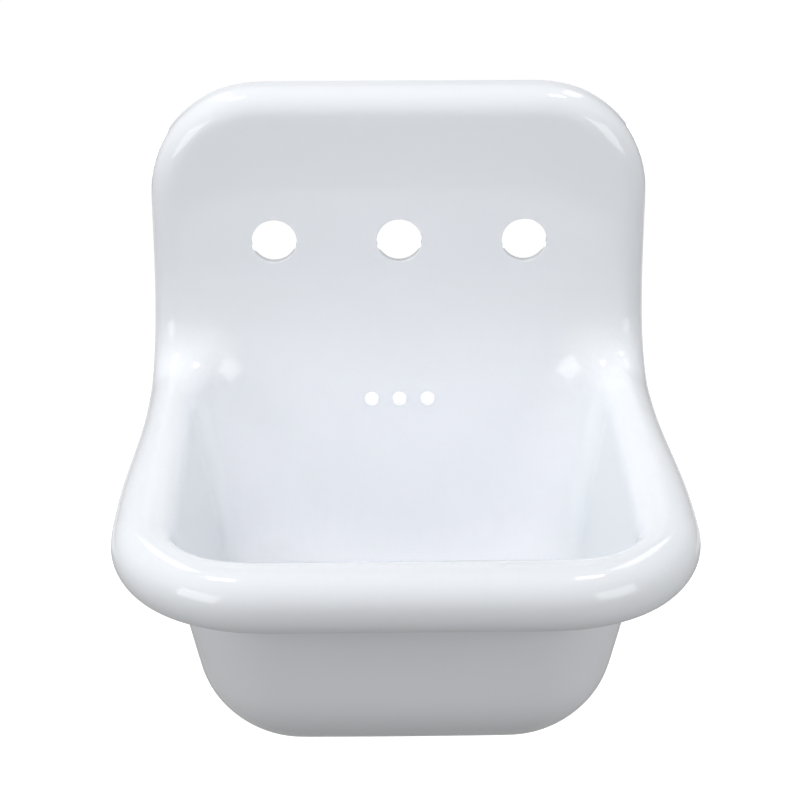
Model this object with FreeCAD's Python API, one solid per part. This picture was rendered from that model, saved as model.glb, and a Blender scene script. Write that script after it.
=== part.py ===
import FreeCAD, Part
import math
import os

os.makedirs("parts", exist_ok=True)

# All sizes in millimetres. The shapes are drawn with z = 0 at the crest of the rim and y = 0 at the wall,
# then everything is lowered so that the origin is the middle of the hanger's screw pattern.

# Basin casting
RIM_WIDTH = 434.0          # overall width across the rolled rim
BACK_WIDTH = 402.0         # overall width of the upright back
REACH = 434.0              # wall to the front of the rim
BACK_HEIGHT = 224.0        # top of the back above the rim
STANDOFF = 32.0            # wall to the front face of the back
WALL = 7.0                 # thickness of the casting
RIM_ROLL = 24.0            # radius of the rolled rim
BACK_ROLL = 20.5           # radius of the rolled edge of the back
RIM_CURL = 46.0            # degrees the rim's roll tucks under past upright
FRONT_CORNER = 114.0       # plan radius of the front corners
TOP_CORNER = 88.0          # radius of the top corners of the back
NECK_FRONT = 252.0         # where the plan starts to narrow, ahead of the shelf bend
NECK_BACK = 8.0            # where it has narrowed, up the shelf bend
ROLL_FADE_FRONT = 36.0     # where the roll starts to change, ahead of the shelf bend
ROLL_FADE_BACK = 83.0      # where it has changed, up the back
LIP_ROUND = 1.3            # softening of the two lip edges

# Bowl
BOWL_WIDTH = 350.0         # across the bowl's front at rim height
BOWL_NARROW = 0.015        # narrowing of each side towards the back
BOWL_DEPTH = 194.5         # rim crest to the floor at the drain
FRONT_LAND = 52.0          # front of the rim to the bowl's front wall
SIDE_DRAFT = 11.0          # degrees
FRONT_DRAFT = 9.4          # degrees
FLOOR_FALL = 0.02          # fall of the floor towards the drain
BACK_TILT = 10.0           # degrees the lower back leans forward
TILT_HEIGHT = 65.5         # height above the rim where the lean starts
SHELF_BEND = 38.0          # radius between shelf and lower back, beside the bowl
SHELF_BEND_LEAST = 7.6     # the same where it has faded out behind the bowl
BACK_BEND = 150.0          # radius between lower and upright back
EDGE_ROUND = 20.0          # radius of the bowl's upper edge
CORNER_ROUND = 58.5        # upright corners of the bowl
FLOOR_ROUND = 59.0         # floor corners of the bowl

# Holes in the casting
TAP_PITCH = 101.6          # four inches between neighbouring tap holes
TAP_HEIGHT = 98.0          # tap holes above the rim
TAP_HOLE_R = 18.3
TAP_EDGE = 1.0             # softening of a tap hole's front edge
SPILL_PITCH = 23.0         # between overflow holes
SPILL_DROP = 35.0          # overflow holes below the rim
SPILL_HOLE_R = 5.4
SPILL_EDGE = 0.6
DRAIN_BACK = 185.0         # wall to the drain's centre
DRAIN_HOLE_R = 22.5
SEAT_R = 34.0              # flat seat round the drain
SEAT_SINK = 3.0            # seat below the floor
SEAT_BOSS = 9.0            # seat to the underside of the drain boss

# Wall hanger
HANGER_DROP = 74.0         # middle of the hanger below the top of the back
HANGER_LENGTH = 280.0
HANGER_TALL = 44.0
SHEET = 3.0                # hanger sheet thickness
SCREW_PITCH_X = 240.0
SCREW_PITCH_Z = 24.0
SCREW_HOLE_R = 3.6
HANGER_CORNER = 6.0        # rounding of the plate's corners
HOOK_OFFSET = 70.0         # hook centres each side of the middle
HOOK_WIDTH = 44.0
HOOK_RISE = 15.0           # upturned lip above the tongue
LUG_WIDTH = 36.0
LUG_LIP = 4.8              # thickness of the lug's hanging lip
HOOK_FREE = 0.6            # play each side of a lug's lip
LUG_ARM = 10.0             # thickness of the lug's arm

# Waste
TUBE_R = 20.95             # outside of the waste tube
TUBE_BORE_R = 18.3
FLANGE_R = 31.5
FLANGE_EDGE = 1.5          # height of the flange at its rim
FLANGE_TALL = 3.5
CONE_R = 25.0              # top of the flange's conical mouth
CONE_DEEP = 3.0            # height of the conical mouth, less than the flange
SEAL_THICK = 1.5           # seal under the flange
TEE_SEAL_THICK = 3.0
TEE_TALL = 26.0
TEE_R = 31.0
TEE_WALL = 3.5
TEE_END = 5.0              # thickness of the tee's two end rings
TEE_WASHER_THICK = 2.0
NUT_TALL = 9.0
NUT_FLATS = 54.0
RELIEF = 2.0               # groove in the thread under the nut
RELIEF_DEEP = 0.9
TAIL = 10.0                # thread left below the groove for the trap
THREAD_FREE = 0.1          # radial play of every threaded or pushed fit
SLOT_WIDTH = 7.0           # overflow slots in the waste tube
SPOKE = 3.0                # thickness of the cross bars in the tube
HUB_R = 7.0
HUB_TALL = 8.0

# Stopper
STROKE = 8.7               # open to closed
CLOSED_FREE = 0.3          # seal to mouth when closed
STOP_FREE = 0.3            # retainer to post head when open
POST_R = 5.0
HEAD_TALL = 10.0
HEAD_DROP = 4.0            # top of the post below the flange
NECK_R = 3.4
STUD_R = 3.0
COLLAR_R = 5.5
COLLAR_TALL = 2.0
O_RING = 0.9               # half the thickness of the post's friction ring
SLIDE_FREE = 0.06          # radial play of the sliding cap
SLEEVE_R = 8.0
SLEEVE_SPARE = 0.8         # post top to the cap when closed
CAP_R = 21.5
CAP_THICK = 4.0
KNOB_R = 7.5
KNOB_WAIST = 5.5
KNOB_TALL = 11.0
STOP_SEAL_R = 19.6         # lower edge of the stopper's seal
STOP_SEAL_TALL = 1.4
RETAINER_R = 6.6
RETAINER_TALL = 2.0
RETAINER_FREE = 0.2

# Overflow
PIPE_R = 8.5
PIPE_BORE_R = 7.0
PIPE_BEND = 32.0
SOCKET_DEEP = 12.0         # pipe inside each socket
SOCKET_ROOT = 4.0          # solid root of each socket
SOCKET_WALL = 2.2
RING_TALL = 3.0            # rubber ring in each union nut
UNION_GRIP = 8.0           # length of a union nut over its socket
UNION_WEB = 3.5            # end wall of a union nut
UNION_WALL = 2.6
UNION_RIBS = 12
RIB = 1.0
PIPE_FREE = 0.3            # union nut to pipe
GASKET_THICK = 2.0
BOX_LENGTH = 84.0          # overflow housing
BOX_TALL = 32.0
BOX_DEEP = 28.0
BOX_WALL = 2.6
PLATE_LENGTH = 122.0
PLATE_TALL = 44.0
PLATE_THICK = 3.0
PIPE_OFF = 17.0            # pipe behind the basin's rear face
SPILL_SCREW_X = 51.0
SPILL_SCREW_R = 2.0
SPILL_SCREW_DEEP = 7.0
SPILL_HEAD_R = 4.4
SPILL_HEAD_TALL = 2.8
SPILL_BOSS_R = 7.0

# Fineness of the casting's surface net
STATIONS = 72              # round half the outline
BOWL_ROWS = 44             # drain to crest
ROLL_ROWS = 8              # crest to the side of the roll
CURL_ROWS = 5              # side of the roll to the lip
RING_R = 14.0              # inner end of the net, inside the drain hole
LINE_STEPS = 110
PATCH_STEPS = 12           # net steps in one face

V = FreeCAD.Vector
X_AXIS = V(1, 0, 0)
Z_AXIS = V(0, 0, 1)
TILT = math.radians(BACK_TILT)
LEAN = math.pi / 2 - TILT

# Fold line of the casting in the y-z plane: shelf, bend, leaning back, bend, upright back
SHELF_TANGENT = SHELF_BEND * math.tan(LEAN / 2)
BACK_TANGENT = BACK_BEND * math.tan(TILT / 2)
FOOT = -STANDOFF - TILT_HEIGHT * math.tan(TILT)
SHELF_END = FOOT - SHELF_TANGENT
BACK_CENTRE = (-STANDOFF - BACK_BEND, TILT_HEIGHT + BACK_TANGENT)
LEAN_START = (SHELF_END + SHELF_BEND * math.sin(LEAN), SHELF_BEND * (1 - math.cos(LEAN)))
LEAN_END = (-STANDOFF - BACK_TANGENT * math.sin(TILT), TILT_HEIGHT - BACK_TANGENT * math.cos(TILT))
S_LEAN = SHELF_BEND * LEAN
S_BEND = S_LEAN + math.dist(LEAN_START, LEAN_END)
S_UPRIGHT = S_BEND + BACK_BEND * TILT

# Levels and places that tie the fittings to the casting
HANGER_HEIGHT = BACK_HEIGHT - HANGER_DROP
SEAT_Z = -BOWL_DEPTH - SEAT_SINK
FLANGE_Z = SEAT_Z + SEAL_THICK
BOSS_Z = SEAT_Z - SEAT_BOSS
TEE_TOP = BOSS_Z - TEE_SEAL_THICK
TEE_LOW = TEE_TOP - TEE_TALL
TEE_MID = (TEE_TOP + TEE_LOW) / 2
NUT_TOP = TEE_LOW - TEE_WASHER_THICK
NUT_LOW = NUT_TOP - NUT_TALL
TUBE_LOW = NUT_LOW - RELIEF - TAIL
HUB_TOP = TEE_LOW + TEE_END - FLANGE_Z
SOCKET_R = PIPE_R + THREAD_FREE + SOCKET_WALL
UNION_R = SOCKET_R + THREAD_FREE + UNION_WALL
DRAIN = V(0, -DRAIN_BACK, 0)
SPILL_FRONT = -STANDOFF - (TILT_HEIGHT + SPILL_DROP) * math.tan(TILT)
SPILL_SPOT = V(0, SPILL_FRONT + WALL * math.cos(TILT), -SPILL_DROP - WALL * math.sin(TILT))
SPILL_PLACE = FreeCAD.Placement(SPILL_SPOT, FreeCAD.Rotation(X_AXIS, -BACK_TILT))


def blend(t):
    """Smooth step from 0 to 1 with level ends."""
    t = min(1.0, max(0.0, t))
    return t * t * t * (t * (6 * t - 15) + 10)


def fold(s):
    """Point (y, z) of the fold line at length s, and its slope angle."""
    if s <= 0:
        return SHELF_END + s, 0.0, 0.0
    if s <= S_LEAN:
        a = s / SHELF_BEND
        return SHELF_END + SHELF_BEND * math.sin(a), SHELF_BEND * (1 - math.cos(a)), a
    if s <= S_BEND:
        t = s - S_LEAN
        return LEAN_START[0] + t * math.cos(LEAN), LEAN_START[1] + t * math.sin(LEAN), LEAN
    if s <= S_UPRIGHT:
        a = LEAN + (s - S_BEND) / BACK_BEND
        return BACK_CENTRE[0] + BACK_BEND * math.sin(a), BACK_CENTRE[1] - BACK_BEND * math.cos(a), a
    return -STANDOFF, BACK_CENTRE[1] + s - S_UPRIGHT, math.pi / 2


def ahead_of_back(y, z):
    """Distance in front of the back and its direction (y, z)."""
    dy = y - BACK_CENTRE[0]
    dz = z - BACK_CENTRE[1]
    if dz >= 0:
        return -STANDOFF - y, -1.0, 0.0
    if dy > 0 and math.atan2(dy, -dz) >= LEAN:
        r = math.hypot(dy, dz)
        return BACK_BEND - r, -dy / r, -dz / r
    run = -STANDOFF - (TILT_HEIGHT - z) * math.tan(TILT) - y
    return run * math.cos(TILT), -math.cos(TILT), math.sin(TILT)


def shoulder(x):
    """Share of the shelf's bend at x: none between the bowl's rear corners, all beyond its side walls."""
    t = min(1.0, max(0.0, (abs(x) - BOWL_WIDTH / 2 + CORNER_ROUND) / CORNER_ROUND))
    return math.sqrt(t * (2 - t))


def above_shelf(x, y, z):
    """Distance above the shelf and back, and its direction (y, z)."""
    bend = max(SHELF_BEND_LEAST, SHELF_BEND * shoulder(x))
    dy = y - FOOT + bend * math.tan(LEAN / 2)
    dz = z - bend
    if dy <= 0:
        return z, 0.0, 1.0
    if dz < 0 and math.atan2(dy, -dz) <= LEAN:
        r = math.hypot(dy, dz)
        return bend - r, -dy / r, -dz / r
    return ahead_of_back(y, z)


def rounded_inside(walls, radius):
    """Distance inside several walls whose meeting corners are rounded."""
    near = [(radius - d, n) for d, n in walls if d < radius]
    if not near:
        return min(walls, key=lambda w: w[0])
    size = math.sqrt(sum(u * u for u, n in near))
    direction = tuple(sum(u * n[k] for u, n in near) / size for k in range(3))
    return radius - size, direction


def inside_bowl(x, y, z):
    """Distance inside the bowl's hollow and its direction."""
    side = math.radians(SIDE_DRAFT)
    front = math.radians(FRONT_DRAFT)
    sign = -1.0 if x >= 0 else 1.0
    inward = y + REACH - FRONT_LAND
    across = (BOWL_WIDTH / 2 - BOWL_NARROW * inward + z * math.tan(side) - abs(x)) * math.cos(side)
    along = (inward + z * math.tan(front)) * math.cos(front)
    back, back_y, back_z = ahead_of_back(y, z)
    walls = [(across, (sign * math.cos(side), 0.0, math.sin(side))),
             (along, (0.0, math.cos(front), math.sin(front))),
             (back, (0.0, back_y, back_z))]
    floor = z + BOWL_DEPTH - FLOOR_FALL * math.hypot(x, y + DRAIN_BACK)
    return rounded_inside([rounded_inside(walls, CORNER_ROUND), (floor, (0.0, 0.0, 1.0))], FLOOR_ROUND)


def air(x, y, z):
    """Positive in the open space above the enamel, with the bowl's upper edge rounded."""
    shelf, shelf_y, shelf_z = above_shelf(x, y, z)
    bowl, n = inside_bowl(x, y, z)
    along = max(0.0, shelf_y * n[1] + shelf_z * n[2])
    clear = min(1.0, max(0.0, ahead_of_back(y, z)[0] / CORNER_ROUND - 1))
    r = EDGE_ROUND * min(1.0, 2 * shoulder(x) + clear) * max(0.0, 1 - along * along)
    if r < 1e-6:
        return max(shelf, bowl)
    return min(-r, max(shelf, bowl)) + math.hypot(max(r + shelf, 0.0), max(r + bowl, 0.0))


def enamel(x, s):
    """Point of the enamelled face under the unfolded place (x, s)."""
    y, z, angle = fold(s)
    down_y = math.sin(angle)
    down_z = -math.cos(angle)
    if air(x, y, z) <= 1e-9:
        return (x, y, z)
    low = 0.0
    high = 2 * BOWL_DEPTH
    for _ in range(44):
        mid = (low + high) / 2
        if air(x, y + mid * down_y, z + mid * down_z) > 0:
            low = mid
        else:
            high = mid
    return (x, y + low * down_y, z + low * down_z)


def resample(points, count):
    """Evenly spaced points along a polyline of any dimension."""
    lengths = [0.0]
    for a, b in zip(points, points[1:]):
        lengths.append(lengths[-1] + math.dist(a, b))
    out = []
    k = 0
    for i in range(count):
        want = lengths[-1] * i / (count - 1)
        while k < len(points) - 2 and lengths[k + 1] < want:
            k += 1
        t = min(1.0, (want - lengths[k]) / (lengths[k + 1] - lengths[k]))
        out.append(tuple(a + (b - a) * t for a, b in zip(points[k], points[k + 1])))
    return out


def crest_outline():
    """Right half of the roll's crest in the unfolded plane, front middle to top middle."""
    front = -REACH + RIM_ROLL - SHELF_END
    top = S_UPRIGHT + BACK_HEIGHT - BACK_ROLL - BACK_CENTRE[1]
    half_rim = RIM_WIDTH / 2 - RIM_ROLL
    half_back = BACK_WIDTH / 2 - BACK_ROLL
    rf = FRONT_CORNER - RIM_ROLL
    rt = TOP_CORNER - BACK_ROLL
    steps = 60
    line = [(0.0, front)]
    for i in range(steps + 1):
        a = math.pi / 2 * i / steps
        line.append((half_rim - rf + rf * math.sin(a), front + rf - rf * math.cos(a)))
    for i in range(1, 4 * steps):
        s = front + rf + (top - rt - front - rf) * i / (4 * steps)
        t = blend((s + NECK_FRONT) / (NECK_FRONT + NECK_BACK))
        line.append((half_rim + (half_back - half_rim) * t, s))
    for i in range(steps + 1):
        a = math.pi / 2 * i / steps
        line.append((half_back - rt + rt * math.cos(a), top - rt + rt * math.sin(a)))
    line.append((0.0, top))
    return resample(line, STATIONS + 1)


def add(p, *pairs):
    """Point p moved along (length, direction) pairs."""
    return tuple(p[k] + sum(f * d[k] for f, d in pairs) for k in range(3))


def roll_rows(outline, i):
    """Points from the crest round the roll to the lip, and the way through the lip."""
    x, s = outline[i]
    before = outline[max(i - 1, 0)]
    after = outline[min(i + 1, STATIONS)]
    tx = after[0] - before[0]
    ts = after[1] - before[1] if 0 < i < STATIONS else 0.0
    size = math.hypot(tx, ts)
    y, z, angle = fold(s)
    out = (ts / size, -tx / size * math.cos(angle), -tx / size * math.sin(angle))
    up = (0.0, -math.sin(angle), math.cos(angle))
    t = blend((s + ROLL_FADE_FRONT) / (ROLL_FADE_FRONT + ROLL_FADE_BACK))
    r = RIM_ROLL + (BACK_ROLL - RIM_ROLL) * t
    straight = (STANDOFF - BACK_ROLL) * t
    curl = math.radians(RIM_CURL) * (1 - t)
    rows = []
    for j in range(1, ROLL_ROWS + 1):
        a = math.pi / 2 * j / ROLL_ROWS
        rows.append(add((x, y, z), (r * math.sin(a), out), (r * (math.cos(a) - 1), up)))
    side = rows[-1]
    for j in range(1, CURL_ROWS + 1):
        f = j / CURL_ROWS
        a = curl * f
        rows.append(add(side, (r * (math.cos(a) - 1), out), (-r * math.sin(a) - straight * f, up)))
    through = add((0.0, 0.0, 0.0), (-math.cos(curl), out), (math.sin(curl), up))
    return rows, through


def half_net():
    """Right half of the enamel net and the ways through the lip, station by station."""
    outline = crest_outline()
    middle = -DRAIN_BACK - SHELF_END
    net = []
    lips = []
    for i, (x, s) in enumerate(outline):
        length = math.hypot(x, s - middle)
        line = []
        for k in range(LINE_STEPS + 1):
            t = (RING_R + (length - RING_R) * k / LINE_STEPS) / length
            line.append(enamel(x * t, middle + (s - middle) * t))
        rows, through = roll_rows(outline, i)
        net.append(resample(line, BOWL_ROWS + 1) + rows)
        lips.append(through)
    return net, lips


def whole(half):
    """Full loop of stations from the right half."""
    left = [[(-p[0], p[1], p[2]) for p in row] for row in half[-2:0:-1]]
    return half + left


def unit(v):
    size = math.sqrt(sum(c * c for c in v))
    return tuple(c / size for c in v)


def inward(net, i, j):
    """Unit direction into the metal at a place of the net."""
    n = len(net)
    last = len(net[0]) - 1
    a = net[(i + 1) % n][j]
    b = net[(i - 1) % n][j]
    c = net[i][min(j + 1, last)]
    d = net[i][max(j - 1, 0)]
    p = tuple(m - k for m, k in zip(a, b))
    q = tuple(m - k for m, k in zip(c, d))
    return unit((p[1] * q[2] - p[2] * q[1], p[2] * q[0] - p[0] * q[2], p[0] * q[1] - p[1] * q[0]))


def surface(net):
    """Faces of a smooth closed band steered by a net of points, stations round, rows across."""
    rows = len(net[0])
    degree = min(3, rows - 1)
    inner = rows - degree - 1
    band = Part.BSplineSurface()
    band.buildFromPolesMultsKnots([[V(*p) for p in row] for row in net],
                                  [1] * (len(net) + 1),
                                  [degree + 1] + [1] * inner + [degree + 1],
                                  list(range(len(net) + 1)),
                                  list(range(inner + 2)),
                                  True, False, 3, degree)
    faces = []
    for u in range(0, len(net), PATCH_STEPS):
        for v in range(0, inner + 1, PATCH_STEPS):
            patch = band.copy()
            u_end = min(u + PATCH_STEPS, len(net))
            v_end = min(v + PATCH_STEPS, inner + 1)
            patch.segment(u, u_end, v, v_end)
            faces.append(patch.toShape())
    return faces


def casting():
    """The basin's casting before any hole or lug."""
    half, half_lips = half_net()
    face = whole(half)
    lips = whole([[t] for t in half_lips])
    rear = []
    for i in range(len(face)):
        way = lips[i][0]
        row = [add(p, (WALL, inward(face, i, j))) for j, p in enumerate(face[i][:-1])]
        edge = face[i][-1]
        run = unit(tuple(b - a for a, b in zip(face[i][-2], edge)))
        rear_edge = add(edge, (WALL, way))
        row += [add(rear_edge, (-LIP_ROUND, run)), rear_edge, add(rear_edge, (-LIP_ROUND, way))]
        face[i] = face[i][:-1] + [add(edge, (-LIP_ROUND, run)), edge, add(edge, (LIP_ROUND, way))]
        rear.append(row)
    lip = [[a[-1], b[-1]] for a, b in zip(face, rear)]
    ring = [[a[0], b[0]] for a, b in zip(face, rear)]
    shell = Part.makeShell(surface(face) + surface(rear) + surface(lip) + surface(ring))
    shell.sewShape()
    solid = Part.makeSolid(shell)
    if solid.Volume < 0:
        solid.reverse()
    return solid



def box(x0, x1, y0, y1, z0, z1):
    """Box between six planes."""
    return Part.makeBox(x1 - x0, y1 - y0, z1 - z0, V(x0, y0, z0))


def drum(r, z0, z1):
    """Upright cylinder on the z axis."""
    return Part.makeCylinder(r, z1 - z0, V(0, 0, z0))


def ring(r_out, r_in, z0, z1):
    """Upright tube on the z axis."""
    return drum(r_out, z0, z1).cut(drum(r_in, z0 - 1, z1 + 1))


def spun(points):
    """Solid of revolution about the z axis from (radius, height) corners."""
    loop = [V(r, 0, z) for r, z in points]
    return Part.Face(Part.makePolygon(loop + loop[:1])).revolve(V(0, 0, 0), Z_AXIS, 360)


def join(shapes):
    """One clean solid from touching or overlapping shapes."""
    return shapes[0].multiFuse(shapes[1:]).removeSplitter()


def moved(shape, x, y, z):
    """Copy of a shape moved by an offset."""
    out = shape.copy()
    out.translate(V(x, y, z))
    return out


def rear(shape):
    """Copy placed on the leaning rear face behind the overflow holes, y away from the basin."""
    out = shape.copy()
    out.Placement = SPILL_PLACE.multiply(out.Placement)
    return out


def along_y(shape):
    """Copy turned so that its z axis points to the wall."""
    out = shape.copy()
    out.rotate(V(0, 0, 0), X_AXIS, -90)
    return out


def flared(radius, edge, length):
    """Cutter for a hole along z whose mouth, at z = 0, has an eased edge."""
    steps = 6
    sweep = math.radians(72.0)
    line = [(0.0, -length), (radius, -length)]
    for i in range(steps + 1):
        a = sweep * i / steps
        line.append((radius + edge * (1 - math.cos(a)), edge * (math.sin(a) - math.sin(0.8 * sweep))))
    line.append((0.0, line[-1][1]))
    return spun(line)


def lugs():
    """Two hooks cast on the rear of the back that hang on the bracket."""
    tongue = HANGER_HEIGHT + HANGER_TALL / 2
    arm = tongue + HOOK_RISE + 2
    back = -SHEET - HOOK_FREE
    out = []
    for side in (-1, 1):
        x0 = side * HOOK_OFFSET - LUG_WIDTH / 2
        x1 = x0 + LUG_WIDTH
        out.append(box(x0, x1, -STANDOFF + WALL / 2, back, arm, arm + LUG_ARM))
        out.append(box(x0, x1, back - LUG_LIP, back, tongue, arm + 1))
    return out


def basin():
    """Enamelled casting with its lugs, bosses and holes."""
    extra = lugs()
    extra.append(moved(drum(SEAT_R, BOSS_Z, SEAT_Z - WALL / 2), 0, -DRAIN_BACK, 0))
    boss = along_y(drum(SPILL_BOSS_R, -WALL / 2, GASKET_THICK))
    pilot = along_y(drum(SPILL_SCREW_R + THREAD_FREE, GASKET_THICK - SPILL_SCREW_DEEP, GASKET_THICK + 1))
    cuts = []
    for side in (-1, 1):
        extra.append(rear(moved(boss, side * SPILL_SCREW_X, 0, 0)))
        cuts.append(rear(moved(pilot, side * SPILL_SCREW_X, 0, 0)))
    for k in (-1, 0, 1):
        tap = along_y(flared(TAP_HOLE_R, TAP_EDGE, STANDOFF))
        tap.rotate(V(0, 0, 0), Z_AXIS, 180)
        cuts.append(moved(tap, k * TAP_PITCH, -STANDOFF, TAP_HEIGHT))
        spill = along_y(flared(SPILL_HOLE_R, SPILL_EDGE, 3 * WALL))
        spill.rotate(V(0, 0, 0), Z_AXIS, 180)
        cuts.append(rear(moved(spill, k * SPILL_PITCH, -WALL, 0)))
    seat = spun([(0, BOSS_Z - 1), (DRAIN_HOLE_R, BOSS_Z - 1), (DRAIN_HOLE_R, SEAT_Z), (SEAT_R, SEAT_Z),
                 (SEAT_R + 3 * SEAT_SINK, SEAT_Z + 2 * SEAT_SINK), (0, SEAT_Z + 2 * SEAT_SINK)])
    cuts.append(moved(seat, 0, -DRAIN_BACK, 0))
    body = casting().multiFuse(extra)
    return body.cut(Part.makeCompound(cuts))


def wall_hanger():
    """Folded steel bracket with two upturned hooks and four screw holes."""
    top = HANGER_HEIGHT + HANGER_TALL / 2
    plate = box(-HANGER_LENGTH / 2, HANGER_LENGTH / 2, -SHEET, 0, top - HANGER_TALL, top)
    gap = LUG_LIP + 2 * HOOK_FREE
    parts = [plate]
    for side in (-1, 1):
        x0 = side * HOOK_OFFSET - HOOK_WIDTH / 2
        x1 = x0 + HOOK_WIDTH
        parts.append(box(x0, x1, -2 * SHEET - gap, 0, top - SHEET, top))
        parts.append(box(x0, x1, -2 * SHEET - gap, -SHEET - gap, top - SHEET, top + HOOK_RISE))
    body = join(parts)
    hole = along_y(drum(SCREW_HOLE_R, -2 * SHEET, SHEET))
    for x in (-SCREW_PITCH_X / 2, SCREW_PITCH_X / 2):
        for z in (-SCREW_PITCH_Z / 2, SCREW_PITCH_Z / 2):
            body = body.cut(moved(hole, x, 0, HANGER_HEIGHT + z))
    upright = [e for e in plate.Edges if abs(e.Vertexes[0].Point.y - e.Vertexes[1].Point.y) > SHEET / 2]
    ends = {(round(e.CenterOfMass.x, 3), round(e.CenterOfMass.z, 3)) for e in upright}
    corners = [e for e in body.Edges if (round(e.CenterOfMass.x, 3), round(e.CenterOfMass.z, 3)) in ends]
    return body.makeFillet(HANGER_CORNER, corners)


def socket(root):
    """Pipe socket along -z from z = 0: outside solid and its hollow."""
    length = root + SOCKET_DEEP
    outside = drum(SOCKET_R, -length, 0)
    hollow = drum(PIPE_R + THREAD_FREE, -length - 1, -root)
    return outside, hollow


def union_nut():
    """Ribbed nut that closes a socket, in the socket's own axes."""
    mouth = -SOCKET_ROOT - SOCKET_DEEP
    low = mouth - RING_TALL - UNION_WEB
    parts = [drum(UNION_R, low, mouth + UNION_GRIP)]
    for k in range(UNION_RIBS):
        rib = box(UNION_R - RIB, UNION_R + RIB, -RIB, RIB, low + RIB, mouth + UNION_GRIP - RIB)
        rib.rotate(V(0, 0, 0), Z_AXIS, 360.0 * k / UNION_RIBS)
        parts.append(rib)
    bore = drum(SOCKET_R + THREAD_FREE, mouth - RING_TALL, mouth + UNION_GRIP + 1)
    return join(parts).cut(bore.fuse(drum(PIPE_R + PIPE_FREE, low - 1, mouth)))


def union_ring():
    """Rubber ring between a socket's mouth and its nut."""
    mouth = -SOCKET_ROOT - SOCKET_DEEP
    return ring(SOCKET_R, PIPE_R, mouth - RING_TALL, mouth)


def at_housing(shape):
    """Copy of a union piece on the overflow housing's socket."""
    return rear(moved(shape, 0, PIPE_OFF, -BOX_TALL / 2))


def at_tee(shape):
    """Copy of a union piece on the waste tee's socket."""
    out = shape.copy()
    out.rotate(V(0, 0, 0), X_AXIS, 90)
    return moved(out, 0, -DRAIN_BACK + TEE_R, TEE_MID)


def overflow_gasket():
    """Rubber frame between the basin and the overflow housing."""
    deep = GASKET_THICK
    plate = box(-PLATE_LENGTH / 2, PLATE_LENGTH / 2, 0, deep, -PLATE_TALL / 2, PLATE_TALL / 2)
    window = box(-BOX_LENGTH / 2 + BOX_WALL, BOX_LENGTH / 2 - BOX_WALL, -1, deep + 1,
                 -BOX_TALL / 2 + BOX_WALL, BOX_TALL / 2 - BOX_WALL)
    out = plate.cut(window)
    for side in (-1, 1):
        out = out.cut(moved(along_y(drum(SPILL_BOSS_R, -1, deep + 1)), side * SPILL_SCREW_X, 0, 0))
    return rear(out)


def overflow_housing():
    """Moulded box over the overflow holes with a socket for the pipe."""
    front = GASKET_THICK
    plate = box(-PLATE_LENGTH / 2, PLATE_LENGTH / 2, front, front + PLATE_THICK,
                -PLATE_TALL / 2, PLATE_TALL / 2)
    shell = box(-BOX_LENGTH / 2, BOX_LENGTH / 2, front, front + BOX_DEEP, -BOX_TALL / 2, BOX_TALL / 2)
    soft = [e for e in shell.Edges if e.CenterOfMass.y > front + BOX_WALL]
    shell = shell.makeFillet(2 * BOX_WALL, soft)
    outside, hollow = socket(SOCKET_ROOT)
    spot = (0, PIPE_OFF, -BOX_TALL / 2)
    passage = moved(drum(PIPE_BORE_R, -SOCKET_ROOT - 1, 2 * BOX_WALL), *spot)
    room = box(-BOX_LENGTH / 2 + BOX_WALL, BOX_LENGTH / 2 - BOX_WALL, front - 1, front + BOX_DEEP - BOX_WALL,
               -BOX_TALL / 2 + BOX_WALL, BOX_TALL / 2 - BOX_WALL)
    stub = moved(drum(SOCKET_R, -SOCKET_ROOT, BOX_WALL), *spot)
    out = join([plate, shell, moved(outside, *spot), stub])
    out = out.cut(Part.makeCompound([room, passage, moved(hollow, *spot)]))
    for side in (-1, 1):
        hole = along_y(drum(SPILL_SCREW_R + THREAD_FREE, 0, front + PLATE_THICK + 1))
        out = out.cut(moved(hole, side * SPILL_SCREW_X, 0, 0))
    return rear(out)


def overflow_screws():
    """Two pan-head screws that hold the overflow housing."""
    face = GASKET_THICK + PLATE_THICK
    low = GASKET_THICK - SPILL_SCREW_DEEP + 1
    screw = spun([(0, low), (SPILL_SCREW_R, low), (SPILL_SCREW_R, face), (SPILL_HEAD_R, face),
                  (SPILL_HEAD_R, face + SPILL_HEAD_TALL / 2), (SPILL_HEAD_R / 2, face + SPILL_HEAD_TALL),
                  (0, face + SPILL_HEAD_TALL)])
    slot = box(-SPILL_HEAD_R, SPILL_HEAD_R, -0.5, 0.5, face + SPILL_HEAD_TALL - 1, face + SPILL_HEAD_TALL + 1)
    screw = along_y(screw.cut(slot))
    return Part.makeCompound([rear(moved(screw, side * SPILL_SCREW_X, 0, 0)) for side in (-1, 1)])


def overflow_pipe():
    """Bent tube from the overflow housing to the waste tee."""
    start = SPILL_PLACE.multVec(V(0, PIPE_OFF, -BOX_TALL / 2 - SOCKET_ROOT))
    end = V(0, -DRAIN_BACK + TEE_R + SOCKET_ROOT, TEE_MID)
    fall = V(0, -math.sin(TILT), -math.cos(TILT))
    corner = start + fall * ((start.z - TEE_MID) / math.cos(TILT))
    trim = PIPE_BEND * math.tan(LEAN / 2)
    bend_in = corner - fall * trim
    bend_out = corner - V(0, trim, 0)
    centre = bend_out + V(0, 0, PIPE_BEND)
    half = V(0, math.sin(LEAN / 2), -math.cos(LEAN / 2))
    arc = Part.Arc(bend_in, centre + half * PIPE_BEND, bend_out).toShape()
    path = Part.Wire([Part.makeLine(start, bend_in), arc, Part.makeLine(bend_out, end)])
    tubes = []
    for r in (PIPE_R, PIPE_BORE_R):
        loop = Part.Wire(Part.makeCircle(r, start, fall))
        tubes.append(path.makePipeShell([loop], True, False))
    return tubes[0].cut(tubes[1])


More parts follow.
